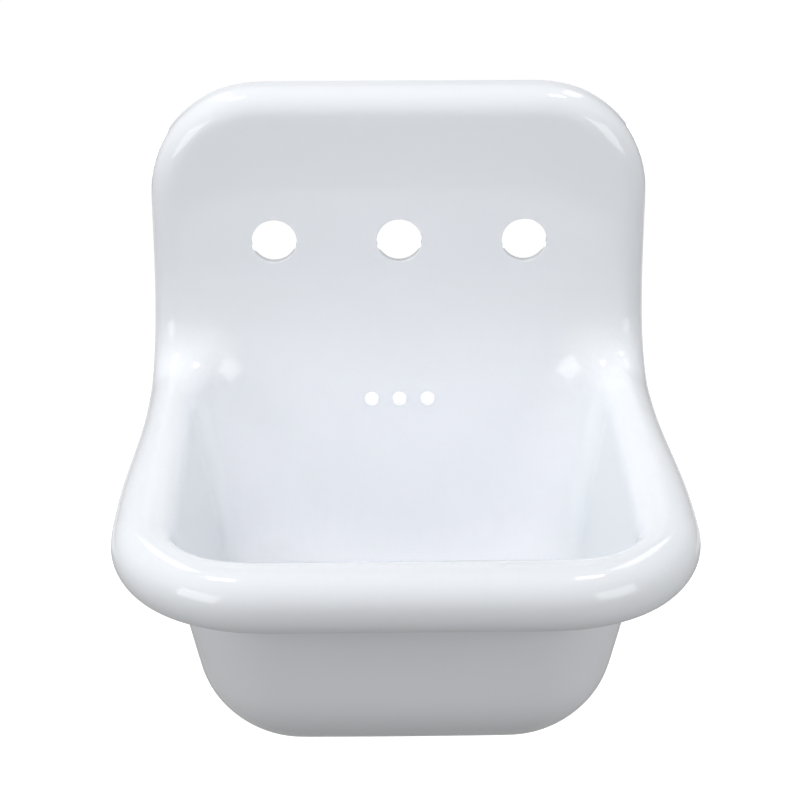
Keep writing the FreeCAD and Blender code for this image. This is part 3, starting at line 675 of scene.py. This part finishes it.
    @staticmethod
    def resample(line: np.ndarray, count: int) -> np.ndarray:
        """Evenly spaced points along a polyline.

        Args:
            line: points, one per row.
            count: points wanted.

        Returns:
            The new points.
        """
        reached = np.concatenate([[0.0], np.cumsum(np.linalg.norm(np.diff(line, axis=0), axis=1))])
        want = np.linspace(0.0, reached[-1], count)
        return np.stack([np.interp(want, reached, line[:, k]) for k in range(line.shape[1])], axis=1)

    def crest(self) -> np.ndarray:
        """Right half of the roll's crest in the unfolded plane.

        Returns:
            Points from the front middle to the top middle.
        """
        front = -self.reach + self.rim_roll - self.shelf_end
        top = self.s_upright + self.back_height - self.back_roll - self.back_centre[1]
        half_rim, half_back = self.rim_width / 2 - self.rim_roll, self.back_width / 2 - self.back_roll
        rf, rt = self.front_corner - self.rim_roll, self.top_corner - self.back_roll
        turn = np.linspace(0.0, math.pi / 2, self.corner_steps + 1)
        corner = np.stack([half_rim - rf + rf * np.sin(turn), front + rf - rf * np.cos(turn)], 1)
        s = np.linspace(front + rf, top - rt, self.side_steps + 1)[1:-1]
        t = self.blend((s + self.neck_front) / (self.neck_front + self.neck_back))
        side = np.stack([half_rim + (half_back - half_rim) * t, s], 1)
        upper = np.stack([half_back - rt + rt * np.cos(turn), top - rt + rt * np.sin(turn)], 1)
        line = np.concatenate([[[0.0, front]], corner, side, upper, [[0.0, top]]])
        return self.resample(line, self.stations + 1)

    def rolls(self, crest: np.ndarray) -> tuple[np.ndarray, np.ndarray]:
        """Rows from the crest round the roll to the lip.

        Args:
            crest: crest points in the unfolded plane.

        Returns:
            Points by station and row, and the way through the lip by station.
        """
        along = np.gradient(crest, axis=0)
        along[0], along[-1] = (1.0, 0.0), (-1.0, 0.0)
        along /= np.linalg.norm(along, axis=1, keepdims=True)
        x, s = crest.T
        y, z, angle = self.fold(s)
        out = np.stack([along[:, 1], -along[:, 0] * np.cos(angle), -along[:, 0] * np.sin(angle)], 1)
        out = out[:, None]
        up = np.stack([np.zeros_like(angle), -np.sin(angle), np.cos(angle)], 1)[:, None]
        t = self.blend((s + self.fade_front) / (self.fade_front + self.fade_back))[:, None, None]
        r = self.rim_roll + (self.back_roll - self.rim_roll) * t
        straight = (self.standoff - self.back_roll) * t
        curl = math.radians(self.rim_curl) * (1 - t)
        base = np.stack([x, y, z], 1)[:, None]
        a = np.linspace(0.0, math.pi / 2, self.roll_rows + 1)[1:][None, :, None]
        first = base + r * np.sin(a) * out + r * (np.cos(a) - 1) * up
        f = np.linspace(0.0, 1.0, self.curl_rows + 1)[1:][None, :, None]
        fall = r * np.sin(curl * f) + straight * f
        second = first[:, -1:] + r * (np.cos(curl * f) - 1) * out - fall * up
        through = -np.cos(curl) * out + np.sin(curl) * up
        return np.concatenate([first, second], 1), through

    def skins(self) -> tuple[np.ndarray, np.ndarray]:
        """Steering nets of the enamelled face and of the rear.

        Returns:
            Two arrays of points by station round the whole outline and row.
        """
        crest = self.crest()
        middle = np.array([0.0, -self.drain_back - self.shelf_end])
        ray = crest - middle
        length = np.linalg.norm(ray, axis=1)
        t = np.linspace(0.0, 1.0, self.line_steps + 1)
        share = (self.ring + (length[:, None] - self.ring) * t) / length[:, None]
        lines = self.enamel(ray[:, :1] * share, middle[1] + ray[:, 1:] * share)
        bowl = np.stack([self.resample(line, self.bowl_rows + 1) for line in lines])
        roll, through = self.rolls(crest)
        half = np.concatenate([bowl, roll], 1)
        flip = np.array([-1.0, 1.0, 1.0])
        face = np.concatenate([half, half[-2:0:-1] * flip])
        way = np.concatenate([through, through[-2:0:-1] * flip])
        across = np.roll(face, -1, 0) - np.roll(face, 1, 0)
        down = np.gradient(face, axis=1)
        into = np.cross(across, down)
        into /= np.linalg.norm(into, axis=2, keepdims=True)
        edge, run = face[:, -1:], face[:, -1:] - face[:, -2:-1]
        run = run / np.linalg.norm(run, axis=2, keepdims=True)
        back_edge = edge + self.wall * way
        soft = self.lip_round
        front_rows = np.concatenate([face[:, :-1], edge - soft * run, edge, edge + soft * way], 1)
        rear = face[:, :-1] + self.wall * into[:, :-1]
        rear_rows = np.concatenate([rear, back_edge - soft * run, back_edge, back_edge - soft * way], 1)
        return front_rows, rear_rows


@dataclass
class Basin:
    """The enamelled casting with its holes, lugs and bosses."""

    shape: BasinShape = field(default_factory=BasinShape)
    hanger_height: float = 150.0
    tap_pitch: float = 101.6
    tap_height: float = 98.0
    tap_r: float = 18.3
    tap_edge: float = 1.0
    spill_pitch: float = 23.0
    spill_drop: float = 35.0
    spill_r: float = 5.4
    spill_edge: float = 0.6
    drain_r: float = 22.5
    seat_r: float = 34.0
    seat_sink: float = 3.0
    seat_boss: float = 9.0
    hook_offset: float = 70.0
    lug_width: float = 36.0
    lug_lip: float = 4.8
    lug_arm: float = 10.0
    hook_rise: float = 15.0
    hanger_tall: float = 44.0
    sheet: float = 3.0
    hook_free: float = 0.6
    spill_screw_x: float = 51.0
    spill_boss_r: float = 7.0
    gasket: float = 2.0
    lug_free: float = 2.0
    cut_past: float = 1.0
    flare_sweep: float = 72.0
    flare_sink: float = 0.8
    flare_steps: int = 6
    hole_steps: int = 96
    boss_steps: int = 32

    def build(self, palette: Palette) -> list[Piece]:
        """Make the casting and put it in place of the CAD node.

        Args:
            palette: materials of the finishes.

        Returns:
            The finished piece, alone in a list.
        """
        body = Forge.link("basin_casting", self._skin())
        smooth = body.modifiers.new("smooth", "SUBSURF")
        smooth.levels = smooth.render_levels = 1
        smooth.use_limit_surface = True
        tools = []
        steps = (("lugs", "UNION", self._additions()), ("holes", "DIFFERENCE", self._cutters()))
        for name, operation, data in steps:
            tool = Forge.link(name, data)
            tools.append(tool)
            step = body.modifiers.new(name, "BOOLEAN")
            step.operation = operation
            step.solver = "MANIFOLD"
            step.object = tool
        seen = body.evaluated_get(bpy.context.evaluated_depsgraph_get())
        data = bpy.data.meshes.new_from_object(seen)
        data.transform(Matrix.Translation((0, 0, -self.hanger_height * MM)) @ Matrix.Scale(MM, 4))
        for tool in [body] + tools:
            bpy.data.objects.remove(tool)
        data.materials.clear()
        data.materials.append(palette.get(ENAMEL))
        data.materials.append(palette.get(REAR_PAINT))
        Forge.crisp(data)
        piece = Forge.link("basin_enamelled", data)
        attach(piece, Body.SINK.value)
        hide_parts("basin")
        return [piece]

    def _skin(self) -> Mesh:
        """Wrap a grid over the two nets as one closed shell; rear faces take the second material.

        Returns:
            The shell in millimetres.
        """
        face, rear = self.shape.skins()
        net = np.concatenate([face, rear[:, ::-1]], 1)
        net = np.concatenate([net, net[:, :1]], 1)
        stations, rows = net.shape[0], net.shape[1] - 1
        mesh = bmesh.new()
        # A unit square of quads, round the outline along x and over the rows along y.
        bmesh.ops.create_grid(mesh, x_segments=stations, y_segments=rows, size=0.5)
        lip = (face.shape[1] - 0.5) / rows
        for quad in mesh.faces:
            quad.material_index = int(quad.calc_center_median().y + 0.5 > lip)
        for vert in mesh.verts:
            i = round((vert.co.x + 0.5) * stations) % stations
            j = round((vert.co.y + 0.5) * rows)
            vert.co = net[i, j]
        bmesh.ops.remove_doubles(mesh, verts=mesh.verts[:], dist=WELD_MM)
        bmesh.ops.recalc_face_normals(mesh, faces=mesh.faces[:])
        return Forge.merge([mesh], "basin_skin")

    def _rear_place(self) -> Matrix:
        """Find the leaning rear face behind the overflow holes.

        Returns:
            A frame on it, z away from the basin.
        """
        tilt = self.shape.tilt
        front = -self.shape.standoff - (self.shape.tilt_height + self.spill_drop) * math.tan(tilt)
        wall = self.shape.wall
        spot = (0, front + wall * math.cos(tilt), -self.spill_drop - wall * math.sin(tilt))
        return Matrix.Translation(spot) @ Matrix.Rotation(-tilt - math.pi / 2, 4, "X")

    def _additions(self) -> Mesh:
        """Model the hanging lugs, screw bosses and the drain boss.

        Returns:
            The joined additions in millimetres.
        """
        tongue = self.hanger_height + self.hanger_tall / 2
        arm = tongue + self.hook_rise + self.lug_free
        back = -self.sheet - self.hook_free
        front = -self.shape.standoff + self.shape.wall / 2
        parts = []
        for side in (-1, 1):
            x0 = side * self.hook_offset - self.lug_width / 2
            lug = bmesh.new()
            inner = back - self.lug_lip
            outline = [(front, arm), (inner, arm), (inner, tongue), (back, tongue),
                       (back, arm + self.lug_arm), (front, arm + self.lug_arm)]
            base = lug.faces.new([lug.verts.new((x0, y, z)) for y, z in outline])
            grown = bmesh.ops.extrude_face_region(lug, geom=[base])["geom"]
            far_side = [g for g in grown if isinstance(g, bmesh.types.BMVert)]
            bmesh.ops.translate(lug, vec=(self.lug_width, 0, 0), verts=far_side)
            bmesh.ops.recalc_face_normals(lug, faces=lug.faces[:])
            parts.append(lug)
            boss = Forge.lathe([(0, -self.shape.wall / 2), (self.spill_boss_r, -self.shape.wall / 2),
                                (self.spill_boss_r, self.gasket), (0, self.gasket)], self.boss_steps)
            place = self._rear_place() @ Matrix.Translation((side * self.spill_screw_x, 0, 0))
            bmesh.ops.transform(boss, matrix=place, verts=boss.verts[:])
            parts.append(boss)
        seat = -self.shape.bowl_depth - self.seat_sink
        boss = Forge.lathe([(0, seat - self.seat_boss), (self.seat_r, seat - self.seat_boss),
                            (self.seat_r, seat - self.shape.wall / 2), (0, seat - self.shape.wall / 2)])
        bmesh.ops.translate(boss, vec=(0, -self.shape.drain_back, 0), verts=boss.verts[:])
        parts.append(boss)
        for part in parts:
            for quad in part.faces:
                quad.material_index = 1
        return Forge.merge(parts, "basin_additions")

    def _flared(self, radius: float, edge: float, length: float) -> Draft:
        """Cutter along z whose mouth at z = 0 has an eased edge.

        Args:
            radius: hole radius.
            edge: easing radius.
            length: depth below the mouth.

        Returns:
            The cutter.
        """
        sweep = math.radians(self.flare_sweep)
        sink = math.sin(self.flare_sink * sweep)
        line = [(0.0, -length), (radius, -length)]
        for i in range(self.flare_steps + 1):
            a = sweep * i / self.flare_steps
            line.append((radius + edge * (1 - math.cos(a)), edge * (math.sin(a) - sink)))
        line.append((0.0, line[-1][1]))
        return Forge.lathe(line, self.hole_steps)

    def _cutters(self) -> Mesh:
        """Model the cutters of the tap holes, overflow holes and the drain with its seat.

        Returns:
            The joined cutters in millimetres.
        """
        shape = self.shape
        parts = []
        face_out = Matrix.Rotation(math.pi / 2, 4, "X")
        inner_face = self._rear_place() @ Matrix.Translation((0, 0, -shape.wall))
        into_bowl = inner_face @ Matrix.Rotation(math.pi, 4, "X")
        for k in (-1, 0, 1):
            tap = self._flared(self.tap_r, self.tap_edge, shape.standoff - self.cut_past)
            place = Matrix.Translation((k * self.tap_pitch, -shape.standoff, self.tap_height)) @ face_out
            bmesh.ops.transform(tap, matrix=place, verts=tap.verts[:])
            spill = self._flared(self.spill_r, self.spill_edge, 3 * shape.wall)
            place = into_bowl @ Matrix.Translation((k * self.spill_pitch, 0, 0))
            bmesh.ops.transform(spill, matrix=place, verts=spill.verts[:])
            parts += [tap, spill]
        seat = -shape.bowl_depth - self.seat_sink
        low = seat - self.seat_boss - self.cut_past
        top = seat + 2 * self.seat_sink
        drain = Forge.lathe([(0, low), (self.drain_r, low), (self.drain_r, seat), (self.seat_r, seat),
                             (self.seat_r + 3 * self.seat_sink, top), (0, top)], self.hole_steps)
        bmesh.ops.translate(drain, vec=(0, -shape.drain_back, 0), verts=drain.verts[:])
        return Forge.merge(parts + [drain], "basin_cutters")


@dataclass
class Fitting:
    """A carried-over metal, plastic or rubber piece with eased edges."""

    node: str
    finish: Finish
    slot: str
    ease_mm: float
    body: Body = Body.SINK

    def build(self, palette: Palette) -> Piece:
        """Make a merged copy of the CAD node, ease its edges and dress it.

        Args:
            palette: materials of the finishes.

        Returns:
            The finished piece.
        """
        mesh = bmesh.new()
        mesh.from_mesh(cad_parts[self.node].data)
        bmesh.ops.remove_doubles(mesh, verts=mesh.verts[:], dist=WELD_M)
        bmesh.ops.dissolve_limit(mesh, angle_limit=math.radians(FLAT_DEG), verts=mesh.verts[:],
                                 edges=mesh.edges[:])
        data = bpy.data.meshes.new(self.node + "_dressed")
        mesh.to_mesh(data)
        mesh.free()
        data.materials.clear()
        data.materials.append(palette.get(self.finish))
        Forge.crisp(data)
        piece = Forge.link(self.node + "_dressed", data)
        if self.ease_mm:
            ease = piece.modifiers.new("ease", "BEVEL")
            ease.width = self.ease_mm * MM
            ease.segments = 2
            ease.limit_method = "ANGLE"
            ease.angle_limit = math.radians(SHARP_DEG)
            ease.harden_normals = True
        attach(piece, self.body.value)
        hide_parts(self.node)
        return piece


class SubAssembly:
    """Fittings that come off the sink together; the sizes are their edges' easings in millimetres."""

    def fittings(self) -> list[Fitting]:
        """List the fittings in building order."""
        return []

    def build(self, palette: Palette) -> list[Piece]:
        """Build and dress the fittings with the palette's materials, in order."""
        return [fitting.build(palette) for fitting in self.fittings()]


@dataclass
class Hanger(SubAssembly):
    """Steel bracket that carries the casting."""

    plate_ease: float = 0.6

    def fittings(self) -> list[Fitting]:
        """List the bracket."""
        return [Fitting("wall_hanger", ZINC, "plated_steel", self.plate_ease)]


@dataclass
class Overflow(SubAssembly):
    """Box over the overflow holes and its pipe to the waste."""

    gasket_ease: float = 0.3
    box_ease: float = 0.4
    screw_ease: float = 0.15
    pipe_ease: float = 0.2
    nut_ease: float = 0.3
    ring_ease: float = 0.2

    def fittings(self) -> list[Fitting]:
        """List the gasket, box, screws, pipe and its unions.

        Returns:
            The fittings in building order.
        """
        return [Fitting("overflow_gasket", RUBBER, "rubber", self.gasket_ease),
                Fitting("overflow_housing", MILKY, "milky_plastic", self.box_ease),
                Fitting("overflow_screws", STAINLESS, "screw_steel", self.screw_ease),
                Fitting("overflow_pipe", WHITE_PLASTIC, "white_plastic", self.pipe_ease),
                Fitting("overflow_nut_top", GREY_PLASTIC, "grey_plastic", self.nut_ease),
                Fitting("overflow_ring_top", RUBBER, "rubber", self.ring_ease),
                Fitting("overflow_nut_bottom", GREY_PLASTIC, "grey_plastic", self.nut_ease),
                Fitting("overflow_ring_bottom", RUBBER, "rubber", self.ring_ease)]


@dataclass
class Waste(SubAssembly):
    """Flange and threaded tube, clamped to the casting through the tee."""

    flange_ease: float = 0.3
    flange_seal_ease: float = 0.2
    tee_seal_ease: float = 0.3
    tee_ease: float = 0.5
    washer_ease: float = 0.2
    nut_ease: float = 0.4

    def fittings(self) -> list[Fitting]:
        """List the flange, seals, tee, washer and lock nut.

        Returns:
            The fittings in building order.
        """
        return [Fitting("waste_flange", THREADED, "chrome", self.flange_ease),
                Fitting("waste_flange_seal", RUBBER, "rubber", self.flange_seal_ease),
                Fitting("waste_tee_seal", RUBBER, "rubber", self.tee_seal_ease),
                Fitting("waste_tee", WHITE_PLASTIC, "white_plastic", self.tee_ease),
                Fitting("waste_tee_washer", FIBRE, "fibre", self.washer_ease),
                Fitting("waste_lock_nut", BRASS, "brass", self.nut_ease)]


@dataclass
class Stopper(SubAssembly):
    """Fixed post with its friction ring, and the cap that slides on it."""

    post_ease: float = 0.15
    ring_ease: float = 0.0
    cap_ease: float = 0.3
    seal_ease: float = 0.2
    retainer_ease: float = 0.15

    def fittings(self) -> list[Fitting]:
        """List the post, its ring, and the sliding cap with its seal and retainer.

        Returns:
            The fittings in building order.
        """
        return [Fitting("stopper_post", BRASS, "brass", self.post_ease),
                Fitting("stopper_friction_ring", RUBBER, "rubber", self.ring_ease),
                Fitting("stopper_cap", CHROME, "chrome", self.cap_ease, Body.STOPPER),
                Fitting("stopper_seal", RUBBER, "rubber", self.seal_ease, Body.STOPPER),
                Fitting("stopper_retainer", BRASS, "brass", self.retainer_ease, Body.STOPPER)]


@dataclass(frozen=True)
class Softbox:
    """One rectangular lamp; its long side may lean, and glossy surfaces may show it."""

    name: str
    place: Point
    size: tuple[float, float]
    radiance: float
    lean: float = 0.0
    mirrored: bool = True
    spread: float = 180.0

    def on_side(self, side: int, label: str) -> "Softbox":
        """Copy a right-hand lamp to one side.

        Args:
            side: 1 for the right, -1 for the left.
            label: word before the lamp's name.

        Returns:
            The lamp of that side.
        """
        x, y, z = self.place
        return replace(self, name=f"{label}_{self.name}", place=(side * x, y, z), lean=side * self.lean)

    def build(self, target: Point) -> None:
        """Hang the lamp so that it faces the target.

        Args:
            target: point that the lamp faces.
        """
        lamp = bpy.data.lights.new(self.name, "AREA")
        lamp.shape = "RECTANGLE"
        lamp.size, lamp.size_y = self.size
        lamp.energy = self.radiance * math.pi * self.size[0] * self.size[1]
        lamp.spread = math.radians(self.spread)
        obj = bpy.data.objects.new(self.name, lamp)
        obj.location = self.place
        obj.visible_glossy = self.mirrored
        aim = (Vector(target) - Vector(self.place)).to_track_quat("-Z", "Y")
        tip = Matrix.Rotation(math.radians(self.lean), 3, "Z")
        obj.rotation_euler = (aim.to_matrix() @ tip).to_euler()
        bpy.context.scene.collection.objects.link(obj)


# Strongest high on the left, as in the photograph. The enamel mirrors only the two low ones behind it.
BROAD_LAMPS = [
    Softbox("left_key", place=(-1.2, -0.2, 1.8), size=(1.0, 1.0), radiance=4.4, mirrored=False),
    Softbox("over_fill", place=(0.0, -0.3, 2.0), size=(1.2, 1.0), radiance=2.2, mirrored=False),
    Softbox("high_fill", place=(0.0, -1.6, 2.0), size=(3.0, 1.5), radiance=0.69, mirrored=False),
    Softbox("low_fill", place=(0.0, -2.5, -0.45), size=(2.0, 0.6), radiance=2.4, mirrored=False),
    Softbox("rear_light", place=(0.0, 2.4, -0.55), size=(1.8, 0.6), radiance=2.2),
    Softbox("edge_light", place=(0.0, 2.0, -1.085), size=(5.0, 0.45), radiance=0.45),
    Softbox("rear_fill", place=(0.0, 2.2, 0.6), size=(1.6, 1.0), radiance=4.0, mirrored=False),
]
BOWL_BEAM = Softbox("bowl_beam", place=(0.0, -1.75, 1.1), size=(0.40, 0.14), radiance=0.29,
                    mirrored=False, spread=7.0)
# Right-hand lamps, repeated on the left; the softboxes and strips are the highlights of the enamel.
SIDE_LAMPS = [
    Softbox("side_fill", place=(2.2, -0.6, 0.2), size=(1.0, 1.5), radiance=2.6, mirrored=False),
    Softbox("rear_fill", place=(1.6, 0.9, 0.6), size=(0.8, 1.2), radiance=1.0, mirrored=False),
    Softbox("front_softbox", place=(1.60, -1.64, 0.50), size=(1.1, 0.95), radiance=2.9),
    Softbox("top_softbox", place=(0.70, -0.08, 1.90), size=(0.38, 0.38), radiance=9.0),
    Softbox("rear_strip", place=(0.85, 0.85, 1.35), size=(0.35, 1.1), radiance=2.5, lean=35.0),
]


@dataclass
class Studio:
    """Floor, lamps, white surround and camera."""

    floor_z: float = -1.3
    floor_size: float = 30.0
    floor_shade: float = 0.18
    floor_rough: float = 0.9
    floor_glow: float = 0.985
    surround: float = 0.02
    mirror_share: float = 0.25
    distance: float = 2.1
    elevation: float = 25.0
    azimuth: float = -1.0
    sensor_mm: float = 36.0
    focal_px: float = 2736.8
    centre_px: tuple[float, float] = (403.0, 404.4)
    image_px: float = 800.0
    aim: Point = (0.0, -0.200, -0.120)
    bowl: Point = (0.0, -0.085, -0.245)

    def build(self) -> None:
        """Make everything round the object."""
        self._floor()
        self._surround()
        self._lamps()
        self._camera()
        bpy.context.scene.view_settings.view_transform = "Standard"

    def _floor(self) -> None:
        """Plain floor well below the hung sink."""
        mesh = bmesh.new()
        bmesh.ops.create_grid(mesh, x_segments=1, y_segments=1, size=self.floor_size / 2)
        bmesh.ops.translate(mesh, vec=(0, 0, self.floor_z), verts=mesh.verts[:])
        data = Forge.merge([mesh], "floor")
        mat = bpy.data.materials.new("pale_floor")
        mat.use_nodes = True
        tree = mat.node_tree
        shader = tree.nodes["Principled BSDF"]
        shade = self.floor_shade
        shader.inputs["Base Color"].default_value = (shade, shade, shade, 1.0)
        shader.inputs["Roughness"].default_value = self.floor_rough
        glow = tree.nodes.new("ShaderNodeEmission")
        glow.inputs["Strength"].default_value = self.floor_glow
        both = tree.nodes.new("ShaderNodeAddShader")
        tree.links.new(shader.outputs["BSDF"], both.inputs[0])
        tree.links.new(glow.outputs["Emission"], both.inputs[1])
        self._swap_for_seen_rays(tree, shader.outputs["BSDF"], both.outputs["Shader"],
                                 tree.nodes["Material Output"].inputs["Surface"])
        data.materials.append(mat)
        Forge.link("floor", data)

    def _swap_for_seen_rays(self, tree: Tree, lit: Socket, seen: Socket, target: Socket) -> None:
        """Show one shader to camera and glass rays and partly to mirror rays, and another to the light.

        Args:
            tree: nodes to add to.
            lit: shader that takes part in the lighting.
            seen: shader that is seen.
            target: socket that takes the result.
        """
        path = tree.nodes.new("ShaderNodeLightPath")
        mask = math_node(tree, "MULTIPLY", path.outputs["Is Glossy Ray"], self.mirror_share)
        for label in ("Is Camera Ray", "Is Transmission Ray"):
            mask = math_node(tree, "MAXIMUM", mask, path.outputs[label])
        swap = tree.nodes.new("ShaderNodeMixShader")
        tree.links.new(mask, swap.inputs["Fac"])
        tree.links.new(lit, swap.inputs[1])
        tree.links.new(seen, swap.inputs[2])
        tree.links.new(swap.outputs["Shader"], target)

    def _surround(self) -> None:
        """White surround that lights softly and is seen as white."""
        world = bpy.data.worlds.new("surround")
        bpy.context.scene.world = world
        world.use_nodes = True
        tree = world.node_tree
        lit = tree.nodes["Background"]
        lit.inputs["Color"].default_value = (1.0, 1.0, 1.0, 1.0)
        lit.inputs["Strength"].default_value = self.surround
        seen = tree.nodes.new("ShaderNodeBackground")
        seen.inputs["Color"].default_value = (1.0, 1.0, 1.0, 1.0)
        self._swap_for_seen_rays(tree, lit.outputs["Background"], seen.outputs["Background"],
                                 tree.nodes["World Output"].inputs["Surface"])

    def _lamps(self) -> None:
        """Hang the broad lamps, the bowl's beam and the lamps of each side."""
        for lamp in BROAD_LAMPS:
            lamp.build(self.aim)
        BOWL_BEAM.build(self.bowl)
        for side, label in ((-1, "left"), (1, "right")):
            for lamp in SIDE_LAMPS:
                lamp.on_side(side, label).build(self.aim)

    def _camera(self) -> None:
        """Camera at the photograph's viewing angle."""
        data = bpy.data.cameras.new("camera")
        data.sensor_width = self.sensor_mm
        data.lens = self.sensor_mm * self.focal_px / self.image_px
        cam = bpy.data.objects.new("camera", data)
        bpy.context.scene.collection.objects.link(cam)
        pitch, turn = math.radians(90.0 - self.elevation), math.radians(self.azimuth)
        cam.rotation_euler = Euler((pitch, 0.0, turn), "XYZ")
        pixel = self.distance / self.focal_px
        half = self.image_px / 2
        across, up = (half - self.centre_px[0]) * pixel, (self.centre_px[1] - half) * pixel
        off = Vector((across, up, self.distance))
        cam.location = Vector(self.aim) + cam.rotation_euler.to_matrix() @ off
        bpy.context.scene.camera = cam


def main() -> None:
    """Dress every piece, then set the studio."""
    logging.basicConfig(level=logging.INFO, format="%(name)s: %(message)s")
    palette = Palette()
    for part in (Basin(), Hanger(), Overflow(), Waste(), Stopper()):
        for piece in part.build(palette):
            LOG.info("%s: %d faces", piece.name, len(piece.data.polygons))
    Studio().build()


if __name__ == "__main__":
    main()
